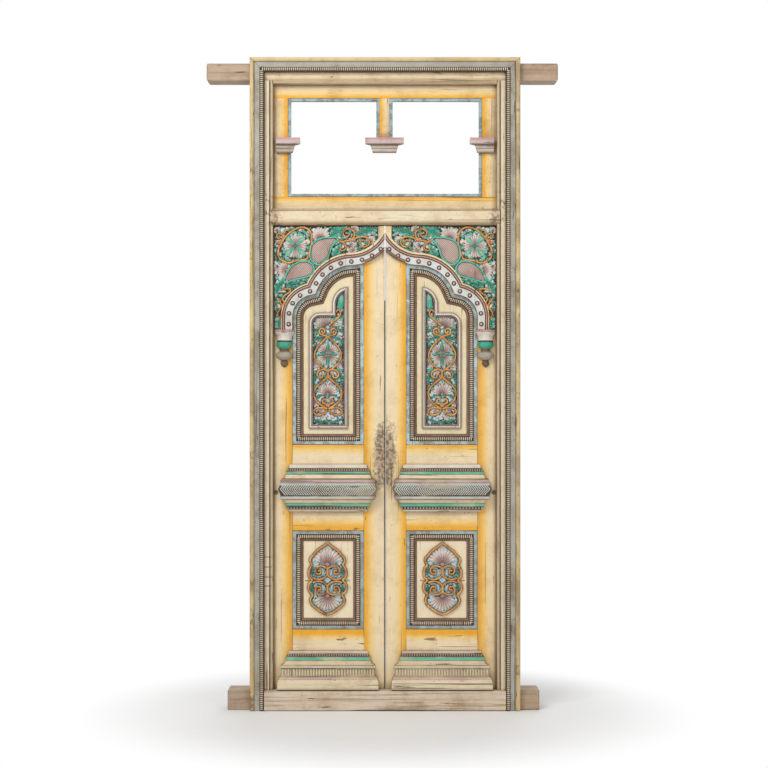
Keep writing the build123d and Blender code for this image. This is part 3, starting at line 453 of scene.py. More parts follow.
def mix_leaf_paints(c):
    """Finishes of the leaves."""
    outer, inner, heel = -PANEL_LEFT, -PANEL_RIGHT, -FACE_LEFT

    def hanging(f):
        off, height = f.side - PEG_X, f.z - PEG_Z
        peg = f.ramp(off * off + height * height, 130, 50)
        return [
            (f.ramp(f.side, outer + 56, outer + 26) * 0.85, c.yellow),
            (f.ramp(f.side, outer + 36, outer + 8) * (0.75 + 0.3 * f.noise(6, 3)), c.orange),
            (f.ramp(f.side, outer + 14, outer + 2) * 0.35, linear(176, 142, 92)),
            # Painted shadow of the jamb on the heel.
            (f.ramp(f.side, heel - 14, heel + 1) * 0.65, c.tan),
            (f.ramp(f.z, 120, 84) * 0.5, c.tan),
            # Painted shade round the pendant.
            (f.ramp(f.z, 1555, 1480) * f.ramp(f.z, 1300, 1400) * 0.2, c.tan),
            (peg * 0.8, linear(74, 56, 42)),
        ]

    def meeting(f):
        handled = f.ramp(f.side, 80, 4) * f.between(f.z, 890, 1150, 60)
        bare = f.mix(f.patches(0.42, 0.6, 70, 8), linear(104, 84, 66), linear(190, 168, 138))
        return [
            (f.ramp(f.side, inner - 54, inner - 20) * 0.85, c.yellow),
            (f.ramp(f.side, inner - 30, inner - 6) * (0.8 + 0.3 * f.noise(6, 3)), c.orange),
            # Painted shadow in the joint between the leaves.
            (f.ramp(f.side, 6, 2) * 0.7, c.dark),
            (f.ramp(handled * 0.42 + f.noise(40, 10, (1, 1, 0.6), 0.8), 0.66, 0.82) * 0.9, bare),
            (f.ramp(f.z, 120, 84) * 0.5, c.tan),
        ]

    def joint(f):
        return f.ramp(f.side, outer - 3.5, outer - 0.5) + f.ramp(f.side, inner + 3.5, inner + 0.5)

    def rail(f):
        upper, gouge = f.ramp(f.z, 600, 610), f.patches(0.67, 0.71, 30, 5, (0.45, 1, 1))
        lower = 1 - upper
        return [
            (f.ramp(f.z, LOWER_TOP + 62, LOWER_TOP + 28) * upper * 0.9, c.yellow),
            (f.ramp(f.z, LOWER_TOP + 36, LOWER_TOP + 10) * upper, c.orange),
            (f.ramp(f.z, UPPER_Z - 45, UPPER_Z - 15) * 0.9, c.yellow),
            (f.ramp(f.z, UPPER_Z - 23, UPPER_Z - 3) * 0.8, c.orange),
            (f.ramp(f.z, LOWER_Z - 52, LOWER_Z - 26) * lower * 0.9, c.yellow),
            (f.ramp(f.z, LOWER_Z - 34, LOWER_Z - 14) * lower, c.orange),
            # Painted shadow under the waist cornice.
            (f.ramp(f.z, 800, 790) * f.ramp(f.z, 770, 782) * 0.35, c.tan),
            (gouge * 0.8, linear(110, 82, 60)),
            (joint(f) * f.patches(0.35, 0.55, 20, 5) * 0.7, linear(128, 96, 62)),
        ]

    def upper_field(f):
        return [
            # The carving's deep ground is painted dark as shade.
            (f.between(f.y, POCKET_FLOOR - 3.5, POCKET_FLOOR + 3, 1.5), linear(72, 62, 52)),
            (f.patches(0.45, 0.7, 5, 4) * f.ramp(f.y, PANEL_FACE + 2, PANEL_FACE + 0.5) * 0.4, linear(222, 192, 136)),
        ]

    def lower_field(f):
        return [(f.patches(0.45, 0.7, 6, 4) * 0.3, linear(220, 204, 166))]

    def moulding(f):
        levels = [f.between(f.z, height - 3, height + 3, 1) for height in (LOWER_Z + 1, LOWER_TOP - 1, UPPER_Z + 1)]
        edge = sum(levels, joint(f)) * f.patches(0.3, 0.55, 16, 6)
        return [
            (f.ramp(f.z, 1000, 900) * 0.6, linear(156, 164, 162)),
            (f.patches(0.45, 0.56, 26, 8, rough=0.68) * 0.75, linear(142, 134, 118)),
            ((edge * 0.8).maths("MINIMUM", 0.8), linear(104, 86, 68)),
            (f.ramp(f.y, 32.5, 34.5), linear(60, 46, 38)),
            (f.ramp(f.y, 36.6, 37.4), c.brown),
            (f.ramp(f.y, 36.6, 37.4) * f.patches(0.5, 0.6, 40, 8, rough=0.7) * 0.6, linear(152, 116, 104)),
            (f.between(f.y, 41.2, 42.4, 0.4) * 0.8, linear(168, 142, 116)),
            (f.ramp(f.y, 45.4, 46.4), linear(70, 52, 40)),
        ]

    def inner_frame(f):
        return [
            # Painted shade on the sides, further back.
            (f.ramp(f.y, 41, 45), linear(150, 120, 104)),
            (f.patches(0.5, 0.7, 12, 4) * 0.4, c.pink),
        ]

    def band(f):
        return [
            (f.patches(0.5, 0.72, 14, 4) * 0.5, linear(178, 170, 164)),
            (f.ramp(f.y, 15, 22) * 0.8, c.brown),
        ]

    wood, faded_teal = linear(128, 106, 86), linear(112, 188, 162)
    line = linear(196, 204, 200)
    quirk = linear(112, 92, 74)
    cornice_rows = [
        (790, linear(232, 222, 208)), (799.5, quirk), (802, linear(58, 44, 36)), (813.5, faded_teal), (826, quirk),
        (828, linear(240, 222, 182)), (840, quirk), (841.5, linear(186, 152, 148)), (845.5, line), (854, quirk),
        (856, linear(74, 64, 56)), (899, line), (908, quirk), (910, linear(186, 156, 146)),
        (914, linear(196, 166, 162)), (922, quirk), (926, linear(240, 222, 182)), (940, quirk),
        (941.5, faded_teal), (952, quirk), (954, linear(84, 70, 58)), (966, quirk), (967.5, linear(236, 226, 212)),
    ]
    plinth_rows = [
        (80, linear(228, 213, 180)), (123.5, quirk), (125, linear(208, 168, 170)), (132, linear(172, 154, 122)),
        (163, linear(92, 76, 60)), (167.5, linear(208, 196, 178)), (178, quirk), (180, linear(222, 204, 166)),
        (195.5, quirk), (197, faded_teal), (210, quirk), (212, linear(104, 88, 72)), (222.5, quirk),
        (224, linear(210, 192, 178)),
    ]

    def cornice(f):
        faded = f.patches(0.48, 0.64, 18, 8, (0.35, 1, 1), 0.65) * 0.5
        return [
            (1.0, f.stripes(f.z, 785, 985, cornice_rows)),
            (faded, linear(222, 204, 172)),
            (f.ramp(f.side, 74, 40) * f.noise(40, 6) * 1.2, wood),
            (f.ramp(f.y, 19, 27) * 0.6, wood),
        ]

    def plinth(f):
        faded = f.patches(0.46, 0.62, 16, 8, (0.3, 1, 1), 0.65) * 0.55
        return [
            (1.0, f.stripes(f.z, 80, 240, plinth_rows)),
            (faded, linear(226, 208, 172)),
            (f.ramp(f.y, 19, 27) * 0.5, wood),
            (f.ramp(f.z, 94, 86) * 0.5, wood),
        ]

    painted("hanging stile", c.cream, hanging, "z", 0.35, 0.45, bare_from=LEAF_BARE)
    painted("meeting stile", c.cream, meeting, "z", 0.4, 0.45, bare_from=LEAF_BARE)
    painted("rail paint", c.cream, rail, "x", 0.45, 0.45, bare_from=LEAF_BARE)
    painted("upper field", c.field, upper_field, "z", 0.45, 0.4, bare_from=PANEL_BARE)
    painted("lower field", linear(246, 230, 196), lower_field, "z", 0.4, 0.25, bare_from=PANEL_BARE)
    painted("moulding paint", linear(184, 206, 208), moulding, "z", 0.6, 0.6)
    painted("inner frame", linear(226, 214, 206), inner_frame, "z", 0.5, 0.6)
    painted("arch white", c.white, band, "z", 0.15, 0.6)
    painted("cornice paint", c.cream, cornice, "x", 0.6, 0.5)
    painted("plinth paint", c.cream, plinth, "x", 0.7, 0.6)


def mix_carving_paints(c):
    """Finishes of the carving and of the small repeated work."""

    def grown(f):
        return f.node("ShaderNodeAttribute", {"attribute_name": "along"}, output="Fac")

    def leaf(f):
        return [
            (f.patches(0.48, 0.62, 44, 5) * 0.6, linear(136, 196, 178)),
            (f.ramp(grown(f), 0.40, 0.9) * 0.6, linear(158, 206, 192)),
            (f.ramp(grown(f), 0.30, 0.0) * 0.6, linear(40, 100, 88)),
            (f.patches(0.56, 0.64, 60, 6, rough=0.7) * 0.6, linear(96, 104, 92)),
        ]

    def fan(f):
        return [
            (f.ramp(grown(f), 0.20, 0.80), linear(232, 222, 212)),
            (f.patches(0.50, 0.66, 34, 5) * 0.5, linear(190, 170, 156)),
            (f.ramp(grown(f), 0.25, 0.0) * 0.6, linear(160, 116, 114)),
        ]

    def stem(f):
        return [
            (f.patches(0.50, 0.64, 40, 5) * 0.7, linear(240, 190, 104)),
            (f.patches(0.52, 0.62, 30, 7, rough=0.65) * 0.8, linear(156, 106, 56)),
            (f.patches(0.54, 0.68, 9, 3) * 0.6, linear(182, 164, 84)),
        ]

    def mesh(f):
        pitch = 2 * math.pi / 18.0
        weave = (f.x + f.z) * pitch
        weft = (f.x - f.z) * pitch
        lattice = weave.maths("SINE") * weft.maths("SINE")
        return [
            (f.patches(0.46, 0.66, 9, 4) * 0.6, linear(168, 120, 118)),
            (f.ramp(abs(lattice), 0.36, 0.08) * 0.8, linear(104, 80, 76)),
        ]

    def rosette(f):
        return [(f.patches(0.54, 0.68, 70, 3) * 0.5, linear(170, 122, 92))]

    def pendant(f):
        rows = [
            (1360, linear(112, 92, 72)), (1400, linear(176, 168, 154)), (1433, linear(120, 104, 88)),
            (1446, c.teal), (1473, linear(72, 58, 48)), (1478, linear(226, 218, 206)), (1512, c.pink),
        ]
        return [(1.0, f.stripes(f.z, 1360, 1530, rows)), (f.patches(0.52, 0.7, 30, 5) * 0.5, c.tan)]

    painted("carved leaf", c.teal, leaf, "z", 0.45, 0.3)
    painted("carved fan", linear(202, 170, 164), fan, "z", 0.45, 0.15)
    painted("carved stem", c.stem, stem, "z", 0.4, 0.25)
    painted("carved mesh", linear(204, 180, 168), mesh, "z", 0.3, 0.4)
    painted("rosette brown", linear(84, 60, 50), rosette, "z", 0.2, 0.5)
    painted("pendant paint", c.cream, pendant, "x", 0.5, 0.6)
    plain = [
        # The carved ground is painted dark as shade between the carving.
        ("carved ground", linear(58, 52, 44), "z", 0.1, 0.5),
        ("carved blue", linear(194, 220, 226), "z", 0.4, 0.1),
        ("carved rim", linear(86, 192, 166), "z", 0.4, 0.15),
        # Painted shade: the dark edge round the stems, and dark leaves in the cartouche's undergrowth.
        ("carved edge", linear(66, 52, 42), "z", 0.2, 0.4),
        ("carved margin", linear(238, 216, 172), "z", 0.5, 0.5),
        ("border brown", linear(96, 66, 56), "z", 0.2, 0.5),
        ("border pink", linear(196, 156, 136), "z", 0.4, 0.5),
        ("roll taupe", linear(178, 156, 132), "z", 0.3, 0.4),
        ("roll shade", linear(128, 106, 88), "z", 0.3, 0.4),
        ("roll white", linear(236, 226, 218), "z", 0.4, 0.4),
        ("rosette heart", linear(228, 198, 186), "z", 0.2, 0.4),
        ("bead paint", c.bead, "z", 0.4, 0.5),
        # The tongue's dark paint is painted shadow in the joint between the leaves.
        ("joint dark", linear(58, 44, 34), "z", 0.1, 0.8),
        ("chevron paint", linear(206, 208, 198), "x", 0.5, 0.6),
        ("dentil paint", linear(172, 156, 130), "x", 0.5, 0.7),
        ("reed paint", linear(214, 200, 166), "z", 0.6, 0.6),
    ]
    for name, coat, along, wear, grime_and_shade in plain:
        painted(name, coat, None, along, wear, grime_and_shade)


# Runs of points along the door's lines


def heading(angle):
    """A step of one at an angle in radians, from +X towards +Z."""
    return Vector((math.cos(angle), math.sin(angle)))


def angle_of(way):
    """The angle of a way, in radians."""
    return math.atan2(way.y, way.x)


def circles_meet(a, radius_a, b, radius_b):
    """Where two circles meet, left of the way from a to b."""
    way = b - a
    reach = (radius_a**2 - radius_b**2 + way.length_squared) / (2 * way.length)
    rise = math.sqrt(radius_a**2 - reach**2)
    unit = way.normalized()
    return a + unit * reach + Vector((-unit.y, unit.x)) * rise


CUSP = circles_meet(FOOT, FOOT_RADIUS, CROWN, CROWN_RADIUS)
OGEE = circles_meet(CROWN, CROWN_RADIUS + OGEE_RADIUS, APEX, OGEE_RADIUS)


def arc_points(centre, radius, first, last, steps=ARC_STEPS):
    """Points along an arc between two angles."""
    return [centre + heading(first + (last - first) * i / steps) * radius for i in range(steps + 1)]


def arch_line(inset, right, foot):
    """The arch's line from x = right to its springing and down to the foot, moved in by inset."""
    hollow, crown, lobe = OGEE_RADIUS + inset, CROWN_RADIUS - inset, FOOT_RADIUS - inset
    bend = angle_of(OGEE - CROWN)
    points, start = [], bend
    if right > CROWN.x + math.cos(bend) * crown:
        first = -math.acos((right - OGEE.x) / hollow)
        points += arc_points(OGEE, hollow, first, bend - math.pi)
    else:
        start = math.acos((right - CROWN.x) / crown)
    to_crown, to_lobe = (CUSP - CROWN).normalized(), (CUSP - FOOT).normalized()
    if inset <= 0:
        meet = circles_meet(FOOT, lobe, CROWN, crown)
        to_crown, to_lobe = (meet - CROWN).normalized(), (meet - FOOT).normalized()
    points += arc_points(CROWN, crown, start, angle_of(to_crown))
    if inset > 0:
        a, b = CROWN + to_crown * crown, FOOT + to_lobe * lobe
        scale = to_crown.cross(to_lobe)
        reach_a, reach_b = a.dot(to_crown), b.dot(to_lobe)
        x = (reach_a * to_lobe.y - reach_b * to_crown.y) / scale
        z = (to_crown.x * reach_b - to_lobe.x * reach_a) / scale
        points.append(Vector((x, z)))
    points += arc_points(FOOT, lobe, angle_of(to_lobe), math.pi)
    points.append(Vector((FOOT.x - lobe, foot)))
    return points


def upper_ring(step):
    """The upper panel's outline, moved in by step from its opening."""
    foot, right = UPPER_Z + step, PANEL_RIGHT - step
    line = arch_line(BAND_WIDTH + step, right, foot)
    return line + [Vector((right, foot)), line[0]]


def inner_ring(step):
    """The fillet round the upper carving, moved in by step."""
    left, right = PANEL_LEFT + FIELD_INSET + step, PANEL_RIGHT - FIELD_INSET - step
    foot, bend, turn = UPPER_Z + FIELD_INSET + step, SHOULDER_RADIUS - step, NECK_RADIUS - step
    line = [Vector((left, foot)), *arc_points(SHOULDER, bend, math.pi, math.pi / 2)]
    line.append(Vector((NECK.x - turn, SHOULDER.y + bend)))
    line += arc_points(NECK, turn, math.pi, math.acos((right - NECK.x) / turn))
    return line + [Vector((right, foot))]


def rectangle_ring(left, right, low, high):
    """A rectangle as a closed run of points."""
    corners = [(left, low), (right, low), (right, high), (left, high), (left, low)]
    return [Vector(corner) for corner in corners]


def lower_ring(step):
    """The lower panel's outline, moved in by step."""
    return rectangle_ring(PANEL_LEFT + step, PANEL_RIGHT - step, LOWER_Z + step, LOWER_TOP - step)


def inside(point, outline):
    """Whether a point lies inside a closed outline."""
    found = False
    for a, b in zip(outline, outline[1:] + outline[:1]):
        if (a.y > point.y) != (b.y > point.y):
            found ^= point.x < a.x + (b.x - a.x) * (point.y - a.y) / (b.y - a.y)
    return found


def spaced(points, pitch=None, count=None):
    """Places spread evenly along a run of points, each with its way along the run."""
    lengths = [(b - a).length for a, b in zip(points, points[1:])]
    total = sum(lengths)
    count = count or max(1, round(total / pitch))
    places, leg, passed = [], 0, 0.0
    for i in range(count):
        goal = total * (i + 0.5) / count
        while passed + lengths[leg] < goal:
            passed += lengths[leg]
            leg += 1
        way = (points[leg + 1] - points[leg]).normalized()
        places.append((points[leg] + way * (goal - passed), way))
    return places


# Making pieces


def as_mesh(bm, name):
    """A bmesh as a mesh, with its faces turned outwards."""
    bmesh.ops.recalc_face_normals(bm, faces=bm.faces[:])
    mesh = bpy.data.meshes.new(name)
    bm.to_mesh(mesh)
    bm.free()
    return mesh


def keep(name, bm, paints, body, replaced=(), smooth=True):
    """Turns a bmesh in millimetres into a piece that rides on a body."""
    bmesh.ops.scale(bm, vec=(MM, MM, MM), verts=bm.verts[:])
    mesh = as_mesh(bm, name)
    for paint in paints:
        mesh.materials.append(bpy.data.materials[paint])
    mesh.polygons.foreach_set("use_smooth", [smooth] * len(mesh.polygons))
    if smooth:
        mesh.set_sharp_from_angle(angle=math.radians(50))
    made = bpy.data.objects.new(name, mesh)
    bpy.context.scene.collection.objects.link(made)
    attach(made, body)
    if replaced:
        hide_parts(*replaced)


def keep_pair(name, build, paints, replaced="", smooth=True):
    """Builds a piece for the left leaf, and mirrored for the right one."""
    for leaf in LEAVES:
        bm = build()
        if leaf == "right":
            bmesh.ops.scale(bm, vec=(-1, 1, 1), verts=bm.verts[:])
        nodes = [leaf + "_" + replaced] if replaced else []
        keep(leaf + "_" + name, bm, paints, leaf + "_leaf", nodes, smooth)


def stamp(bm, template, place):
    """Adds a copy of a small mesh at a place."""
    copy = template.copy()
    copy.transform(place)
    bm.from_mesh(copy)
    bpy.data.meshes.remove(copy)


def add_at(bm, mesh, depth, material):
    """Moves a mesh made in the plane y = 0 to a depth, and adds it in one paint."""
    for polygon in mesh.polygons:
        polygon.material_index = material
    mesh.transform(Matrix.Translation((0, depth, 0)))
    bm.from_mesh(mesh)
    bpy.data.meshes.remove(mesh)


def facing(point, depth, way, along, rise, across):
    """Where a small shape of size one goes: along a way, standing out from a depth."""
    columns = [(way.x * along, 0, way.y * along), (0, rise, 0), (-way.y * across, 0, way.x * across)]
    place = Matrix(columns).transposed().to_4x4()
    place.translation = (point.x, depth, point.y)
    return place


def turned(line, steps, start=0.0):
    """A bmesh of a line of (radius, height) points turned about Z, in the same order each run."""
    bm, rings = bmesh.new(), []
    for radius, height in line:
        angles = [start + 2 * math.pi * i / steps for i in range(steps if radius else 1)]
        rings.append([bm.verts.new((*(heading(angle) * radius), height)) for angle in angles])
    for upper, lower in zip(rings, rings[1:]):
        for i in range(steps):
            corners = [(upper, i), (lower, i), (lower, i + 1), (upper, i + 1)]
            bm.faces.new(list(dict.fromkeys(ring[j % len(ring)] for ring, j in corners)))
    return bm


def turned_ball(segments, rings):
    """A ball of radius one as a bmesh."""
    levels = [math.pi * i / rings for i in range(1, rings)]
    line = [(0, 1), *[(math.sin(level), math.cos(level)) for level in levels], (0, -1)]
    return turned(line, segments, math.pi / 2)


def cut_back(bm):
    """Takes away what lies behind y = 0, where points of the turned form stand, and closes it there."""
    behind = [vert for vert in bm.verts if vert.co.y > 0.001]
    bmesh.ops.delete(bm, geom=behind, context="VERTS")
    bmesh.ops.holes_fill(bm, edges=[edge for edge in bm.edges if edge.is_boundary])


def dome_mesh(segments, rings):
    """A half ball of radius one that stands on y = 0 and faces -Y."""
    bm = turned_ball(segments, rings)
    bmesh.ops.rotate(bm, verts=bm.verts[:], cent=(0, 0, 0), matrix=Matrix.Rotation(math.pi / 2, 3, "X"))
    cut_back(bm)
    return as_mesh(bm, "dome")


def block_mesh():
    """A block of size two with eased front edges."""
    bm = bmesh.new()
    bmesh.ops.create_cube(bm, size=2)
    front = [edge for edge in bm.edges if all(vert.co.y < 0 for vert in edge.verts)]
    bmesh.ops.bevel(bm, geom=front, offset=0.3, segments=1, profile=0.5, affect="EDGES", material=-1)
    return as_mesh(bm, "block")


def rod_mesh(points, radii, closed=False, flatten=1.0, handles="AUTO"):
    """A rod through points in the plane y = 0, pressed flat by a share."""
    curve = bpy.data.curves.new("rod", "CURVE")
    curve.dimensions = "3D"
    curve.bevel_depth = 1.0
    curve.bevel_resolution = 1
    curve.use_fill_caps = True
    curve.resolution_u = 3 if handles == "AUTO" else 1
    spline = curve.splines.new("BEZIER")
    spline.bezier_points.add(len(points) - 1)
    spline.use_cyclic_u = closed
    for knot, point, radius in zip(spline.bezier_points, points, radii):
        knot.co = (point.x, 0, point.y)
        knot.radius = radius
        knot.handle_left_type = knot.handle_right_type = handles
    holder = bpy.data.objects.new("rod", curve)
    mesh = bpy.data.meshes.new_from_object(holder)
    bpy.data.objects.remove(holder)
    bpy.data.curves.remove(curve)
    while mesh.uv_layers:
        mesh.uv_layers.remove(mesh.uv_layers[0])
    mesh.transform(Matrix.Diagonal((1, flatten, 1, 1)))
    return mesh


def plate(bm, points, back, front, material):
    """A flat plate with a closed outline."""
    rear, fore = [[bm.verts.new((point.x, depth, point.y)) for point in points] for depth in (back, front)]
    sides = [(rear[i - 1], rear[i], fore[i], fore[i - 1]) for i in range(len(points))]
    for corners in (rear, fore, *sides):
        bm.faces.new(corners).material_index = material


# Carving

GROUND_SHADE, STEM, LEAF, FAN, MESH, BLUE, MARGIN, RIM, EDGE_SHADE = range(9)
CARVING_PAINTS = (
    "carved ground", "carved stem", "carved leaf", "carved fan", "carved mesh", "carved blue", "carved margin",
    "carved rim", "carved edge",
)


def lobe_mesh():
    """A leaf lobe of size one: x runs across it, z along it, and its front stands at y = -1."""
    bm = bmesh.new()
    along = bm.verts.layers.float.new("along")
    section, steps = [(-1, 0), (0, 0), (1, 0), (1, -1), (0, -1), (-1, -1)], 5
    rows = [[bm.verts.new((x, y, i / steps)) for x, y in section] for i in range(steps + 1)]
    for row, after in zip(rows, rows[1:]):
        for i in range(len(section)):
            bm.faces.new((row[i - 1], row[i], after[i], after[i - 1]))
    for end in (rows[0], rows[-1]):
        bm.faces.new((end[0], end[1], end[4], end[5]))
        bm.faces.new(end[1:5])
    for vert in bm.verts:
        vert[along] = vert.co.z
    return as_mesh(bm, "lobe")


class Carving:
    """Relief work that stands on a flat ground."""

    def __init__(self, ground):
        self.bm = bmesh.new()
        self.ground = ground
        self.along = self.bm.verts.layers.float.new("along")
        self.dome, self.lobe = dome_mesh(8, 6), lobe_mesh()

    def stem(self, points, width, rise, material, taper=1.0, closed=False):
        """A rounded stem through points that thins towards its end."""
        last = len(points) - 1
        radii = [width / 2 * (1 + (taper - 1) * i / last) for i in range(last + 1)]
        flatten = 0.7
        mesh = rod_mesh(points, radii, closed, flatten)
        add_at(self.bm, mesh, self.ground - rise + width / 2 * flatten, material)

    def vine(self, points, width, rise, taper=1.0, closed=False):
        """A stem in a dark edge of painted shade."""
        self.stem(points, width * 1.45, rise - 1.2, EDGE_SHADE, taper, closed)
        self.stem(points, width, rise, STEM, taper, closed)

    def knob(self, point, radius, rise, material):
        """A small round boss."""
        place = facing(point, self.ground, Vector((1, 0)), radius, rise, radius)
        copy = self.dome.copy()
        copy.transform(place)
        add_at(self.bm, copy, 0, material)

    def petal(self, base, tip, width, rise, material, peak=0.62, bow=0.0):
        """A rounded petal or leaf lobe from its base to its tip."""
        spine = tip - base
        side = Vector((-spine.y, spine.x)).normalized()
        copy = self.lobe.copy()
        for vert in copy.vertices:
            across, front, t = vert.co
            if t < peak:
                fill = 0.22 + 0.78 * math.sin(t / peak * math.pi / 2)
            else:
                fill = math.sqrt(max(1 - ((t - peak) / (1 - peak)) ** 2, 0.006))
            point = base + spine * t + side * (across * width / 2 * fill + bow * 4 * t * (1 - t))
            lift = rise * (0.45 + 0.55 * (1 - across**2)) * (0.55 + 0.45 * math.sin(math.pi * t))
            vert.co = (point.x, self.ground + lift * front, point.y)
        add_at(self.bm, copy, 0, material)

    def fan(self, centre, angle, spread, count, reach, rise):
        """Petals that open from a point about an angle; angles in degrees."""
        width = 1.7 * reach * math.sin(math.radians(spread / (count - 1) / 2))
        for i in range(count):
            turn = angle + spread * (i / (count - 1) - 0.5)
            long = reach * (0.86 + 0.14 * math.cos(math.radians(turn - angle)))
            way = heading(math.radians(turn))
            self.petal(centre + way * reach * 0.12, centre + way * long, width, rise, FAN, 0.74)
        self.knob(centre, reach * 0.16, rise * 0.9, FAN)

    def feather(self, points, width, rise, lobes):
        """A toothed leaf: lobes on both sides of a bent spine."""
        spine = spaced(points, count=lobes + 1)
        for i, (point, way) in enumerate(spine):
            share = i / lobes
            reach = width * (0.55 + 0.45 * math.sin(math.pi * min(share + 0.2, 1)))
            for turn in (-52, 52):
                out = Matrix.Rotation(math.radians(turn), 2) @ way
                self.petal(point, point + out * reach * 0.66, width * 0.27, rise * 0.85, LEAF, 0.6)
            if i == lobes:
                self.petal(point, point + way * width * 0.6, width * 0.3, rise * 0.85, LEAF)
        ends = [points[0], *[place for place, way in spine], points[-1]]
        self.stem(ends, width * 0.22, rise, LEAF, 0.6)

    def pillow(self, centre, reach_at, rise, material, segments=36, rings=8):
        """A rounded boss whose outline lies at a reach for each angle."""
        ball = as_mesh(turned_ball(segments, rings), "ball")
        for vert in ball.vertices:
            angle = math.atan2(vert.co.y, vert.co.x)
            point = centre + heading(angle) * math.hypot(vert.co.x, vert.co.y) * reach_at(angle)
            vert.co = (point.x, self.ground - rise * max(vert.co.z, 0), point.y)
        add_at(self.bm, ball, 0, material)

    def paisley(self, outline, rise, rim):
        """A netted drop with a leaf-coloured rim, inside a closed outline."""
        centre = sum(outline, Vector((0, 0))) / len(outline)
        around = sorted((angle_of(point - centre), (point - centre).length) for point in outline)
        full = 2 * math.pi
        around = [(around[-1][0] - full, around[-1][1]), *around, (around[0][0] + full, around[0][1])]

        def reach(angle):
            for (a, near), (b, far) in zip(around, around[1:]):
                if a <= angle <= b:
                    return near + (far - near) * (angle - a) / (b - a)

        self.pillow(centre, reach, rise, MESH)
        self.stem(outline, rim, rise + 0.6, RIM, closed=True)

    def undergrowth(self, outline, pitch, reach, rise, shares, seed):
        """Small leaves all over an outline, on a shaken grid; shares are (paint, share) pairs."""
        shake = random.Random(seed)
        left, right = min(p.x for p in outline), max(p.x for p in outline)
        low, high = min(p.y for p in outline), max(p.y for p in outline)
        paints, weights = zip(*shares)
        for row in range(int((high - low) / pitch) + 1):
            for column in range(int((right - left) / pitch) + 1):
                point = Vector((left + (column + shake.random()) * pitch, low + (row + shake.random()) * pitch))
                way = heading(shake.uniform(0, 2 * math.pi)) * reach / 2
                paint, bow = shake.choices(paints, weights)[0], shake.uniform(-2, 2)
                if inside(point - way, outline) and inside(point + way, outline):
                    self.petal(point - way, point + way, reach * 0.55, rise, paint, 0.5, bow)


# Spandrel: places in steps of four millimetres, across and down from its top outer corner
DRAWING_STEP = 4.0
RING = [
    (11.2, 12.0), (15.6, 7.2), (20.3, 3.8), (25, 1.6), (29, 1.0), (33.8, 2.2), (37.3, 5.8), (38.5, 10.4), (38.5, 16),
    (37.7, 20.7), (36.1, 26.3), (34.9, 30.3), (32.6, 33.2), (28.2, 33.6), (22.7, 34.4), (18.7, 35.9), (15.6, 36.6),
    (10.8, 35.2), (6.9, 32.7), (5.3, 29.5), (4.9, 25.5), (5.8, 21.5), (8.4, 17.0),
]
FLOWER = (22.0, 19.8)
PAISLEYS = [
    [
        (36.9, 26.3), (37.7, 19.9), (41.7, 15.1), (48.8, 11.9), (56.7, 11.2), (64.4, 12.4), (60.6, 17.5), (57.5, 23.1),
        (55.9, 28.7), (52.7, 33.5), (48.0, 37.5), (43.2, 38.3), (39.3, 35.1), (36.9, 31.1),
    ],
    [
        (11.4, 56.0), (12.8, 48.6), (16.4, 42.3), (21.9, 37.5), (29.0, 35.1), (35.3, 35.5), (39.7, 39.1), (40.9, 43.8),
        (38.5, 48.6), (32.2, 51.0), (25.0, 52.6), (17.9, 54.6),
    ],
]
STEMS_DRAWN = [
    [(69, 15.4), (74.1, 14.3), (79.5, 12.5), (81.6, 7.4), (78.5, 3.4), (74, 2.8), (70.4, 5.2), (70.8, 9), (74, 10.2),
     (76.2, 8.4), (75, 6.6)],
    [(78.5, 14.4), (83.5, 11.6), (88.5, 10.4), (93.5, 11.4), (96.2, 15), (95, 19), (91.5, 20.6), (88, 19.6),
     (86.8, 16.6), (88.8, 14), (91.8, 14.6), (91.6, 16.8)],
    [(65, 13.0), (68, 15.5), (71.5, 17.4), (73, 20.6), (71, 23.9), (68, 24.2), (67.2, 21.8)],
    [(11.2, 11.6), (8.5, 8), (5.5, 7.2), (3.6, 9.6), (5, 12), (7.2, 11)],
    [(11.2, 11.6), (9, 13.6), (7.6, 16.6), (5.2, 16.8), (4.2, 14.4)],
    [(11.2, 11.2), (10.6, 7.4), (12.6, 4.2), (16, 3.6)],
    [(8, 63.2), (13, 62.6), (17.4, 63.6), (15, 67), (11, 69.6), (9.4, 73), (11.0, 76.2), (9.2, 79.8), (6.4, 83.4),
     (4.4, 87.6), (6, 91.2), (8.4, 90), (8.2, 87)],
    [(4, 72.4), (6.4, 74.8), (8.6, 79.4)],
]
LEAVES_DRAWN = [
    ([(57, 9), (62, 6.5), (70, 2.6)], 11, 5),
    ([(58, 3), (63, 3), (69, 8)], 7, 4),
    ([(82, 8.2), (91, 5.6), (101, 4.4)], 9, 6),
    ([(86, 3.6), (94, 2.4), (103, 1.6)], 6, 5),
    ([(84, 22), (89, 24), (95.6, 21.6), (98, 17)], 7, 5),
    ([(60, 31.5), (62.6, 27), (66, 21)], 9, 4),
    ([(66, 28), (71, 27.6), (76, 28.2)], 5, 3),
    ([(13, 58.4), (22, 57.2), (34, 53.6)], 8, 5),
    ([(16, 62.4), (24, 60.6), (31, 57.6)], 6, 4),
    ([(10, 55), (5.6, 59), (3.2, 66)], 8, 4),
    ([(3.6, 20), (2.8, 27), (3.2, 33)], 5, 3),
    ([(15, 70), (13.4, 76), (12.6, 82)], 5, 3),
    ([(4.6, 70), (3.4, 77), (3.0, 84)], 5, 3),
    ([(6.2, 92), (6.4, 97), (6.2, 102)], 8, 3),
    ([(43, 39.6), (49, 39), (54.6, 34)], 4.5, 4),
    ([(17, 3.6), (22, 1.8), (27, 1.2)], 4, 3),
]
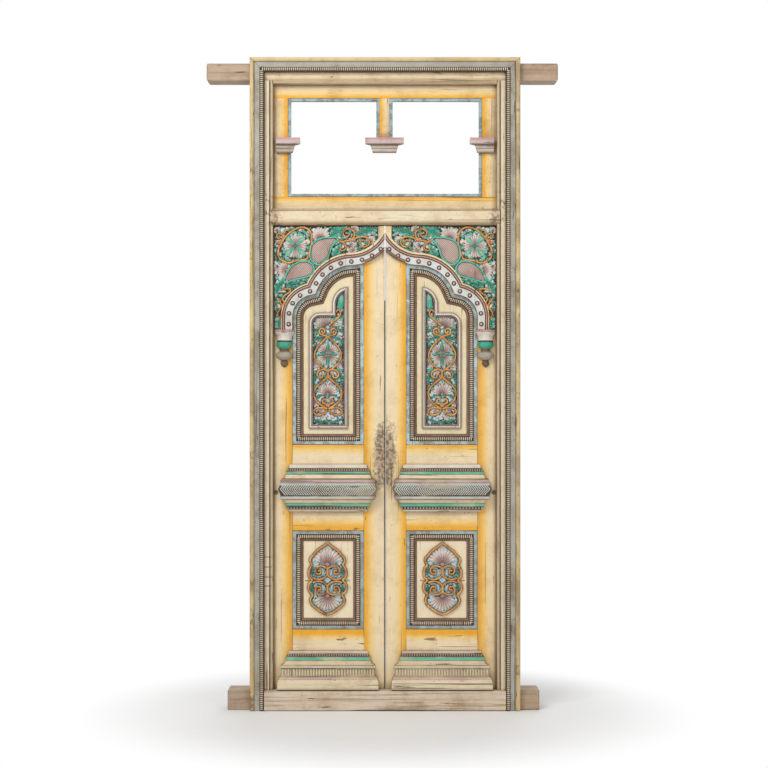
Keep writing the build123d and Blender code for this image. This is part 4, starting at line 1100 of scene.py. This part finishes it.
FANS = [
    ((47, 12.4), 92, 150, 10, 12.0), ((14.6, 44), 176, 140, 10, 11.5), ((81, 4.0), 60, 120, 5, 6.0),
    ((96.6, 16), 40, 140, 7, 7.0), ((78.6, 23), 300, 140, 7, 7.0), ((76.6, 19), 10, 130, 6, 6.0),
    ((4.0, 4.4), 135, 200, 6, 4.0), ((9, 84), 10, 120, 5, 4.5), ((5.0, 40), 200, 120, 6, 5.0),
]


def drawn(pair):
    """A place in the spandrel's drawing, in millimetres."""
    return Vector((FACE_LEFT - 2 + pair[0] * DRAWING_STEP, SPANDREL_TOP - 1 - pair[1] * DRAWING_STEP))


def spandrel():
    """The carved board over the arch of the left leaf."""
    carving = Carving(BOARD_FRONT)
    line = arch_line(0, MEETING_X, BAND_FOOT)
    corners = [Vector((FACE_LEFT, BAND_FOOT)), Vector((FACE_LEFT, SPANDREL_TOP)), Vector((MEETING_X, SPANDREL_TOP))]
    # The board is the carving's ground, painted dark as shade.
    plate(carving.bm, line + corners, LEAF_FRONT, BOARD_FRONT, GROUND_SHADE)
    wide, step, margin = bpy.context.scene.door_sizes.stem_width / MM, DRAWING_STEP, 1.0
    hem = arch_line(-7.0, MEETING_X - 26, BAND_FOOT + margin)
    rim = [Vector((FACE_LEFT + margin, BAND_FOOT + margin)), Vector((FACE_LEFT + margin, SPANDREL_TOP - margin))]
    field = hem + rim + [Vector((hem[0].x, SPANDREL_TOP - margin))]
    shares = [(LEAF, 0.44), (FAN, 0.42), (BLUE, 0.14)]
    carving.undergrowth(field, 12.0, 10.0, 3.0, shares, 5)
    carving.undergrowth(field, 16.0, 21.0, 3.8, shares, 6)
    carving.vine([drawn(pair) for pair in RING], wide, 8.5, closed=True)
    centre = drawn(FLOWER)
    for quarter in range(4):
        carving.fan(centre, 90 * quarter, 40, 4, 12.0 * step, 6.8)
        way = heading(math.radians(45 + 90 * quarter))
        carving.petal(centre, centre + way * 14 * step, 6.0 * step, 6.0, LEAF, 0.5)
        carving.petal(centre + way * 4 * step, centre + way * 12 * step, 1.8 * step, 8.2, FAN, 0.6)
    carving.knob(centre, 1.6 * step, 8.5, LEAF)
    for outline in PAISLEYS:
        carving.paisley([drawn(pair) for pair in outline], 8.0, 6.4)
    for run in STEMS_DRAWN:
        carving.vine([drawn(pair) for pair in run], wide * 0.9, 8.5, 0.75)
    for run, width, lobes in LEAVES_DRAWN:
        carving.feather([drawn(pair) for pair in run], width * step, 6.4, lobes)
    for middle, angle, spread, count, reach in FANS:
        carving.fan(drawn(middle), angle, spread, count, reach * step, 6.6)
    wide_strip, slim_strip = [arch_line(inset, MEETING_X - 24, BAND_FOOT) for inset in (-9.0, -3.0)]
    last = len(wide_strip) - 1
    strip = [a.lerp(b, i / last) for i, (a, b) in enumerate(zip(wide_strip, slim_strip))]
    wedge = [Vector((strip[0].x, SPANDREL_TOP)), Vector((MEETING_X, SPANDREL_TOP))]
    plate(carving.bm, line + strip[::-1] + wedge, BOARD_FRONT, BOARD_FRONT - 7.0, MARGIN)
    return carving.bm


# Arabesque of the upper panel: half of it, as steps from its axis and heights
AXIS_X = -230.0
ARABESQUE_STEMS = [
    [(24, 1508), (14, 1512), (13, 1521), (21, 1527), (31, 1524), (34, 1514), (28, 1504), (14, 1500), (0, 1494),
     (-22, 1474), (-46, 1446), (-54, 1420), (-46, 1394), (-24, 1372), (0, 1354)],
    [(0, 1354), (14, 1362), (30, 1360), (42, 1348), (40, 1334), (28, 1329), (20, 1336), (26, 1344)],
    [(0, 1354), (0, 1336), (-14, 1320), (-40, 1298), (-55, 1276), (-55, 1256), (-44, 1234), (-22, 1216), (-2, 1204)],
    [(2, 1204), (22, 1208), (46, 1206), (57, 1194), (50, 1182), (30, 1180), (12, 1188), (4, 1200)],
    [(2, 1212), (8, 1224), (18, 1226), (21, 1237), (13, 1243), (7, 1237)],
]
ARABESQUE_LEAVES = [
    ([(10, 1498), (34, 1492), (56, 1478)], 26, 4),
    ([(16, 1532), (40, 1530), (58, 1514)], 24, 4),
    ([(40, 1360), (54, 1340), (56, 1304)], 28, 5),
    ([(10, 1334), (24, 1318), (42, 1312)], 14, 3),
    ([(2, 1154), (26, 1148), (58, 1164)], 20, 5),
    ([(2, 1256), (24, 1262), (44, 1246)], 16, 3),
    ([(46, 1462), (54, 1452), (58, 1438)], 14, 3),
]
ARABESQUE_FANS = [
    ((60, 1386), 180, 120, 5, 22), ((32, 1192), 160, 100, 4, 22), ((60, 1228), 180, 130, 6, 26),
    ((60, 1294), 200, 90, 4, 14), ((10, 1300), 90, 120, 4, 14),
]


def arabesque():
    """The carving in the left leaf's upper panel."""
    carving = Carving(POCKET_FLOOR)
    wide = bpy.context.scene.door_sizes.stem_width / MM * 0.95

    def at(u, z):
        return Vector((AXIS_X + u, z))

    shares = [(LEAF, 0.26), (FAN, 0.44), (BLUE, 0.30)]
    carving.undergrowth(inner_ring(16.5), 9.0, 10.0, 4.0, shares, 11)
    carving.undergrowth(inner_ring(16.5), 12.0, 20.0, 4.6, shares, 12)
    for side in (-1, 1):
        for run, width, lobes in ARABESQUE_LEAVES:
            carving.feather([at(side * u, z) for u, z in run], width, 8.0, lobes)
        for (u, z), angle, spread, count, reach in ARABESQUE_FANS:
            carving.fan(at(side * u, z), 90 + (angle - 90) * side, spread, count, reach, 7.0)
        for up in (-1, 1):
            carving.fan(at(side * 4, 1424 + 5 * up), 90 * up - 45 * up * side, 62, 5, 42, 8.0)
        for run in ARABESQUE_STEMS:
            carving.vine([at(side * u, z) for u, z in run], wide, 11.0, 0.85)
        for u, z, radius in ((24, 1515, 6), (30, 1345, 8)):
            carving.knob(at(side * u, z), radius, 7.0, BLUE)
    centre = at(0, 1424)
    for angle, reach in ((90, 58), (270, 56), (0, 45), (180, 45)):
        carving.petal(centre, centre + heading(math.radians(angle)) * reach, 11, 10.0, LEAF, 0.45)
    carving.knob(centre, 6, 10.5, LEAF)
    carving.fan(at(0, 1262), 90, 170, 11, 46, 9.0)
    carving.petal(at(0, 1232), at(0, 1206), 12, 9.0, BLUE)
    carving.knob(at(1, 1532), 7, 9.5, BLUE)
    carving.fan(at(-4, 1530), 128, 110, 12, 56, 7.5)
    carving.fan(at(8, 1534), 40, 60, 5, 40, 7.0)
    tendril = [at(4, 1538), at(20, 1554), at(38, 1568), at(50, 1584), at(47, 1600), at(38, 1602), at(36, 1592)]
    carving.vine(tendril, wide, 10.5, 0.8)
    carving.petal(at(14, 1546), at(44, 1580), 16, 9.0, LEAF)
    carving.petal(at(48, 1592), at(56, 1672), 26, 9.0, LEAF, 0.5)
    carving.petal(at(56, 1590), at(60, 1556), 10, 7.0, LEAF)
    return carving.bm


# Cartouche of the lower panel: half of its edge, from tip to tip, and a quarter of the rest, about its centre
CARTOUCHE = Vector((-231.5, 514.5))
EDGE = [
    (0, 150), (15, 138), (43, 118), (56, 102), (68, 89), (70, 76), (62, 63), (72, 48), (75, 27), (72, 11), (62, 1),
    (74, -14), (77, -31), (72, -46), (60, -58), (69, -78), (61, -99), (43, -114), (20, -130), (0, -138),
]
C_SCROLL = [(4, 50), (-2, 34), (6, 16), (22, 6), (42, 4), (58, 10)]
CURL = [(4, 50), (20, 57), (38, 56), (48, 46), (47, 32), (36, 25), (27, 31), (30, 40), (37, 39)]


def cartouche():
    """The carving on the left leaf's lower panel."""
    carving = Carving(PANEL_FACE)
    wide = bpy.context.scene.door_sizes.stem_width / MM

    def at(u, v):
        return CARTOUCHE + Vector((u, v))

    rim = [at(u, v) for u, v in EDGE] + [at(-u, v) for u, v in EDGE[-2:0:-1]]
    plate(carving.bm, rim, PANEL_FACE, PANEL_FACE - 1.5, BLUE)
    inner = [CARTOUCHE.lerp(point, 0.94) for point in rim]
    # The dark leaves stand for shade among the small leaves.
    carving.undergrowth(inner, 10.0, 13.0, 4.0, [(BLUE, 0.46), (LEAF, 0.34), (EDGE_SHADE, 0.2)], 3)
    for side in (-1, 1):
        carving.vine([at(side * u, v) for u, v in EDGE], wide * 1.1, 11.5)
        for up in (-1, 1):
            for run in (C_SCROLL, CURL):
                carving.vine([at(side * u, up * v) for u, v in run], wide, 12.0, 0.85)
            carving.knob(at(side * 35, up * 38), 7.0, 11.0, STEM)
            leaf = [(62, 58), (60, 44), (62, 26), (54, 14)]
            carving.feather([at(side * u, up * v) for u, v in leaf], 15, 9.0, 4)
            carving.petal(at(side * 20, up * 48), at(side * 24, up * 14), 12, 8.0, BLUE, 0.5, -4 * side * up)
            carving.petal(at(side * 40, up * 16), at(side * 26, up * 14), 10, 8.0, BLUE)
            carving.knob(at(side * 56, up * 80), 6.5, 7.5, BLUE)
        carving.petal(at(side * 74, -2), at(side * 90, -1), 5, 4.0, STEM)
    for up, reach in ((1, 72), (-1, 68)):
        carving.fan(at(0, up * 62), 90 * up, 132, 11, reach, 9.5)
        carving.petal(at(0, up * 56), at(0, up * 46), 22, 10.0, STEM, 0.5)
    for quarter in range(4):
        carving.petal(at(0, 0), at(0, 0) + heading(math.radians(90 * quarter)) * 17, 15, 7.0, BLUE, 0.4)
    return carving.bm


# Operators


class DOOR_OT_mix_paints(Operator):
    """Mixes every paint and wood finish"""

    bl_idname = "door.mix_paints"
    bl_label = "Mix paints"

    def execute(self, context):
        colours = context.scene.door_colours
        mix_frame_paints(colours)
        mix_leaf_paints(colours)
        mix_carving_paints(colours)
        return {"FINISHED"}


FRAME_PAINTS = {
    "sill": "sill wood",
    "lintel": "beam wood",
    "left_jamb": "jamb cream",
    "right_jamb": "jamb cream",
    "left_architrave": "upright architrave",
    "right_architrave": "upright architrave",
    "head_architrave": "head architrave",
    "transom_bar": "bar cream",
    "light_top_rail": "light rail",
    "light_bottom_rail": "light rail",
    "light_left_stile": "light stile",
    "light_right_stile": "light stile",
    "light_mullion": "mullion",
    "light_beads": "light bead",
    "left_bracket": "bracket",
    "middle_bracket": "bracket",
    "right_bracket": "bracket",
}
LEAF_PAINTS = {
    "hanging_stile": "hanging stile",
    "meeting_stile": "meeting stile",
    "top_rail": "rail paint",
    "lock_rail": "rail paint",
    "bottom_rail": "rail paint",
    "upper_panel": "upper field",
    "lower_panel": "lower field",
    "upper_moulding": "moulding paint",
    "lower_moulding": "moulding paint",
    "inner_frame": "inner frame",
    "arch_band": "arch white",
    "waist_cornice": "cornice paint",
    "plinth": "plinth paint",
}


def dress(node, paint):
    """Gives a CAD node its finish and worn edges."""
    seam, sharp_degrees = 0.00002, 42
    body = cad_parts[node]
    body.data.materials.clear()
    body.data.materials.append(bpy.data.materials[paint])
    body.modifiers.new("Weld", "WELD").merge_threshold = seam
    worn = body.modifiers.new("Worn edges", "BEVEL")
    worn.width = bpy.context.scene.door_sizes.edge_wear
    worn.segments = 2
    worn.limit_method = "ANGLE"
    worn.angle_limit = math.radians(sharp_degrees)
    worn.harden_normals = False


class DOOR_OT_paint_frame(Operator):
    """Paints the frame and the light"""

    bl_idname = "door.paint_frame"
    bl_label = "Paint frame"

    def execute(self, context):
        for node, paint in FRAME_PAINTS.items():
            dress(node, paint)
        return {"FINISHED"}


class DOOR_OT_paint_leaves(Operator):
    """Paints the joinery of both leaves"""

    bl_idname = "door.paint_leaves"
    bl_label = "Paint leaves"

    def execute(self, context):
        for leaf in LEAVES:
            for node, paint in LEAF_PAINTS.items():
                dress(leaf + "_" + node, paint)
        return {"FINISHED"}


def bead_row(bm, dome, points, depth, across):
    """Beads side by side along a run of points."""
    sizes = bpy.context.scene.door_sizes
    pitch, rise = sizes.bead_pitch / MM, sizes.bead_rise / MM
    for point, way in spaced(points, pitch):
        stamp(bm, dome, facing(point, depth, way, pitch * 0.34, rise, across / 2))


class DOOR_OT_fit_tongue(Operator):
    """Fits the dark tongue that closes most of the joint between the leaves, as painted shadow in the joint"""

    bl_idname = "door.fit_tongue"
    bl_label = "Fit tongue"

    def execute(self, context):
        low, high = Vector((-2.5, 48.0, 76.0)), Vector((1.0, 54.0, 1640.0))
        bm = bmesh.new()
        bmesh.ops.create_cube(bm, size=1)
        bmesh.ops.scale(bm, vec=high - low, verts=bm.verts[:])
        bmesh.ops.translate(bm, vec=(low + high) / 2, verts=bm.verts[:])
        keep("left_meeting_tongue", bm, ["joint dark"], "left_leaf", smooth=False)
        return {"FINISHED"}


class DOOR_OT_string_beads(Operator):
    """Sets the rows of beads in the architrave and the panel mouldings"""

    bl_idname = "door.string_beads"
    bl_label = "String beads"

    def execute(self, context):
        dome = dome_mesh(8, 6)
        across = context.scene.door_sizes.bead_width / MM
        architrave_row, head_row, flat = 492.0, 2560.0, -24.0
        bm = bmesh.new()
        for x in (-architrave_row, architrave_row):
            bead_row(bm, dome, [Vector((x, 4)), Vector((x, head_row - 4))], flat, across * 0.85)
        ends = [Vector((-architrave_row, head_row)), Vector((architrave_row, head_row))]
        bead_row(bm, dome, ends, flat, across * 0.85)
        keep("architrave_beads", bm, ["bead paint"], "frame")
        step, seat = 24.5, 36.2

        def panel_beads():
            made = bmesh.new()
            for ring in (upper_ring(step), lower_ring(step)):
                bead_row(made, dome, ring, seat, across)
            return made

        keep_pair("panel_beads", panel_beads, ["bead paint"])
        return {"FINISHED"}


def line_rods(lines, depth):
    """Rods along runs of points at a depth: each line is its points, radius, paint and whether it closes."""
    bm = bmesh.new()
    for points, radius, material, closed in lines:
        add_at(bm, rod_mesh(points, [radius] * len(points), closed, handles="VECTOR"), depth, material)
    return bm


def arch_border():
    """The rolls that edge the arch band."""
    roll = bpy.context.scene.door_sizes.border_roll / MM
    lines = [
        (arch_line(inset * roll, MEETING_X, BAND_FOOT), thick * roll, paint, False)
        for inset, thick, paint in ((1.0, 1.0, 0), (3.5, 1.5, 1), (6.0, 1.0, 0))
    ]
    for inset, thick, paint in ((1.0, 1.0, 0), (2.8, 0.9, 1), (4.6, 0.8, 0)):
        line = arch_line(BAND_WIDTH - inset * roll, MEETING_X, BAND_FOOT)
        lines.append(([point for point in line if point.x > PANEL_RIGHT], thick * roll, paint, False))
    return line_rods(lines, BAND_FRONT)


def inner_rolls():
    """The rolls along the fillet round the upper carving."""
    crest = 40.0
    rolls = ((1.8, 1.8, 0), (7.4, 4.0, 1), (13.6, 2.2, 2))
    return line_rods([(inner_ring(step), radius, paint, True) for step, radius, paint in rolls], crest)


def rosettes():
    """The lobed studs along the arch band."""
    carving = Carving(BAND_FRONT)
    lobes, radius, stud_count = 8, 9.6, 13

    def lobed(angle):
        return radius * (1 + 0.06 * math.cos(lobes * angle))

    for point, way in spaced(arch_line(STUD_INSET, MEETING_X, BAND_FOOT), count=stud_count):
        carving.pillow(point, lobed, 4.6, 0, 16, 6)
        carving.knob(point, 5.4, 7.8, 1)
    return carving.bm


class DOOR_OT_trim_arch(Operator):
    """Edges the arch with rolls and sets its studs"""

    bl_idname = "door.trim_arch"
    bl_label = "Trim arch"

    def execute(self, context):
        keep_pair("arch_border", arch_border, ["border brown", "border pink"])
        keep_pair("inner_rolls", inner_rolls, ["roll taupe", "roll white", "roll shade"])
        keep_pair("rosettes", rosettes, ["rosette brown", "rosette heart"], "arch_studs")
        return {"FINISHED"}


class DOOR_OT_carve(Operator):
    """Carves the spandrels, the arabesques and the cartouches"""

    bl_idname = "door.carve"
    bl_label = "Carve panels"

    def execute(self, context):
        keep_pair("spandrel_carving", spandrel, CARVING_PAINTS, "spandrel")
        keep_pair("arabesque_carving", arabesque, CARVING_PAINTS, "upper_carving")
        keep_pair("cartouche_carving", cartouche, CARVING_PAINTS, "cartouche")
        return {"FINISHED"}


# The pendant's turned line: radius and height
PENDANT_LINE = [
    (0, 1521.5), (42, 1521.5), (42, 1515), (40, 1512), (40, 1508), (36, 1503), (32, 1497), (30, 1488), (31, 1479),
    (26, 1476), (26, 1473), (30, 1471), (31, 1464), (30, 1455), (25, 1449), (18, 1444), (17, 1436), (22, 1431),
    (31, 1427), (33, 1419), (31, 1411), (22, 1405), (13, 1401), (10, 1397), (14, 1391), (15, 1385), (11, 1377),
    (3, 1371), (0, 1370.5),
]
PENDANT_X = -404.0


def pendant():
    """The turned pendant under the left foot of the arch."""
    bm = turned(PENDANT_LINE, 28)
    cut_back(bm)
    bmesh.ops.translate(bm, vec=(PENDANT_X, LEAF_FRONT, 0), verts=bm.verts[:])
    return bm


class DOOR_OT_turn_pendants(Operator):
    """Turns the pendants under the arch"""

    bl_idname = "door.turn_pendants"
    bl_label = "Turn pendants"

    def execute(self, context):
        keep_pair("turned_pendant", pendant, ["pendant paint"], "pendant")
        return {"FINISHED"}


MIDDLE_X = -228.0


def level_run(half, height):
    """A level run of points about the middle of the left leaf."""
    return [Vector((MIDDLE_X - half, height)), Vector((MIDDLE_X + half, height))]


def dentils():
    """Dentil rows of the cornice and the plinth: half length, pitch, height, size of a block, and what it stands on."""
    bm, block, sizes = bmesh.new(), block_mesh(), bpy.context.scene.door_sizes
    pitch, hanging = sizes.dentil_pitch / MM, sizes.hanging_dentil_pitch / MM
    rows = [
        (165, pitch, 959.5, (5.2, 8.0, 10.5), 12.0),
        (166, hanging, 807.0, (7.6, 12.0, 9.0), 17.0),
        (162, pitch, 217.0, (5.4, 7.0, 11.0), 16.0),
    ]
    for half, step, height, size, back in rows:
        wide, deep, tall = [whole / 2 for whole in size]
        for point, way in spaced(level_run(half, height), step):
            stamp(bm, block, facing(point, back - deep, way, wide, deep, tall))
    return bm


def chevrons():
    """Slanting bars on the cornice's nose that point away from its middle, as nested diamonds there."""
    bm, block = bmesh.new(), block_mesh()
    pitch = bpy.context.scene.door_sizes.chevron_pitch / MM
    nose, lean, half_width, rise = Vector((MIDDLE_X, -26.0, 885.0)), 0.8, 198.0, 1.6
    for edge in (Vector((MIDDLE_X, -15.2, 904.0)), Vector((MIDDLE_X, -16.2, 861.0))):
        slope = edge - nose
        normal = Vector((1, 0, 0)).cross(slope).normalized()
        normal *= -1 if normal.y > 0 else 1
        for side in (-1, 1):
            for i in range(int(half_width / pitch)):
                away = (i + 0.6) * pitch
                share = min(1.0, away / (lean * slope.length))
                start = nose + Vector((side * away, 0, 0))
                bar = (slope + Vector((-side * lean * slope.length, 0, 0))) * share
                across = normal.cross(bar).normalized()
                place = Matrix([bar / 2, normal * -rise, across * pitch * 0.2]).transposed().to_4x4()
                place.translation = start + bar / 2
                stamp(bm, block, place)
    return bm


def reeds():
    """The upright reeds round the plinth."""
    bm, dome, pitch = bmesh.new(), dome_mesh(10, 6), bpy.context.scene.door_sizes.reed_pitch / MM
    half, height, face, rise, half_height = 186, 150, -10.4, 4.0, 17.0
    for point, way in spaced(level_run(half, height), pitch):
        stamp(bm, dome, facing(point, face, way, pitch * 0.42, rise, half_height))
    return bm


class DOOR_OT_cut_dentils(Operator):
    """Cuts the dentils, chevrons and reeds of the cornices and plinths"""

    bl_idname = "door.cut_dentils"
    bl_label = "Cut dentils"

    def execute(self, context):
        keep_pair("dentils", dentils, ["dentil paint"], smooth=False)
        keep_pair("chevrons", chevrons, ["chevron paint"], smooth=False)
        keep_pair("reeds", reeds, ["reed paint"])
        return {"FINISHED"}


class DOOR_OT_set_stage(Operator):
    """Sets the floor, the lights and the camera"""

    bl_idname = "door.set_stage"
    bl_label = "Set stage"

    def execute(self, context):
        scene = context.scene
        scene.view_settings.view_transform = "Standard"
        self.lay_floor(scene)
        self.light_world(scene)
        lamps = [
            ("key_light", (-1.9, -3.4, 4.4), 2.0, 120.0),
            ("fill_light", (2.8, -4.4, 2.2), 3.0, 40.0),
            ("back_light", (0.6, 3.6, 3.4), 3.0, 50.0),
        ]
        for name, place, size, watts in lamps:
            lamp = bpy.data.lights.new(name, "AREA")
            lamp.energy, lamp.size = watts, size
            holder = bpy.data.objects.new(name, lamp)
            holder.location = place
            aim = Vector((0, 0, 1.3)) - Vector(place)
            holder.rotation_euler = aim.to_track_quat("-Z", "Y").to_euler()
            scene.collection.objects.link(holder)
        self.place_camera(scene)
        return {"FINISHED"}

    def lay_floor(self, scene):
        """A pale floor that fades to white away from the door."""
        half_width, drop = 30, 0.0005
        bm = bmesh.new()
        bmesh.ops.create_grid(bm, x_segments=1, y_segments=1, size=half_width)
        bmesh.ops.translate(bm, vec=(0, 0, -drop), verts=bm.verts[:])
        mesh = as_mesh(bm, "floor")
        floor = bpy.data.objects.new("floor", mesh)
        scene.collection.objects.link(floor)
        finish = Finish("pale floor", 0.9)
        speck = finish.noise(3, 3)
        colour = finish.mix(speck, linear(246, 246, 246), linear(250, 250, 250))
        finish.tree.links.new(colour.socket, finish.shader.inputs["Base Color"])
        glow = finish.node("ShaderNodeEmission", {}, {"Color": (1, 1, 1), "Strength": 1.0})
        flat = (finish.x * finish.x + finish.y * finish.y) * 1e-6
        far = finish.ramp(flat, 0.35, 1.6)
        shader = Term(finish, finish.shader.outputs[0])
        mixed = finish.node("ShaderNodeMixShader", {}, {0: far * finish.seen(), 1: shader, 2: glow})
        finish.tree.links.new(mixed.socket, finish.tree.nodes["Material Output"].inputs["Surface"])
        mesh.materials.append(finish.material)

    def light_world(self, scene):
        """An even sky for light, white where it is seen."""
        world = bpy.data.worlds.new("studio")
        scene.world = world
        world.use_nodes = True
        nodes = Nodes(world.node_tree)
        sky = nodes.tree.nodes["Background"]
        sky.inputs["Color"].default_value = (1, 1, 1, 1)
        level = nodes.node("ShaderNodeMapRange", {}, {"Value": nodes.seen(), "To Min": 0.42, "To Max": 1.0})
        nodes.tree.links.new(level.socket, sky.inputs["Strength"])

    def place_camera(self, scene):
        """A long lens straight in front, level with the middle of the picture."""
        lens = bpy.data.cameras.new("camera")
        lens.lens, lens.sensor_width = 85.0, 36.0
        picture_width, middle_x, middle_z = 3.072, -0.004, 1.304
        camera = bpy.data.objects.new("camera", lens)
        camera.location = (middle_x, -picture_width * lens.lens / lens.sensor_width, middle_z)
        camera.rotation_euler = (math.pi / 2, 0, 0)
        scene.collection.objects.link(camera)
        scene.camera = camera


STEPS = (
    DOOR_OT_mix_paints,
    DOOR_OT_paint_frame,
    DOOR_OT_paint_leaves,
    DOOR_OT_fit_tongue,
    DOOR_OT_string_beads,
    DOOR_OT_trim_arch,
    DOOR_OT_carve,
    DOOR_OT_turn_pendants,
    DOOR_OT_cut_dentils,
    DOOR_OT_set_stage,
)


class DOOR_PT_panel(Panel):
    """Lists the steps, the sizes and the colours"""

    bl_idname = "DOOR_PT_panel"
    bl_label = "Carved double door"
    bl_space_type = "VIEW_3D"
    bl_region_type = "UI"
    bl_category = "Door"

    def draw(self, context):
        for step in STEPS:
            self.layout.operator(step.bl_idname)
        for group in (context.scene.door_sizes, context.scene.door_colours):
            for key in group.bl_rna.properties.keys():
                if key not in ("rna_type", "name"):
                    self.layout.prop(group, key)


CLASSES = (DoorSizes, DoorColours, *STEPS, DOOR_PT_panel)


def register():
    for kind in CLASSES:
        bpy.utils.register_class(kind)
    bpy.types.Scene.door_sizes = PointerProperty(type=DoorSizes)
    bpy.types.Scene.door_colours = PointerProperty(type=DoorColours)


def unregister():
    del bpy.types.Scene.door_colours
    del bpy.types.Scene.door_sizes
    for kind in reversed(CLASSES):
        bpy.utils.unregister_class(kind)


def main():
    """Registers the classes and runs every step."""
    register()
    for step in STEPS:
        group, name = step.bl_idname.split(".")
        getattr(getattr(bpy.ops, group), name)()


if __name__ == "__main__":
    main()
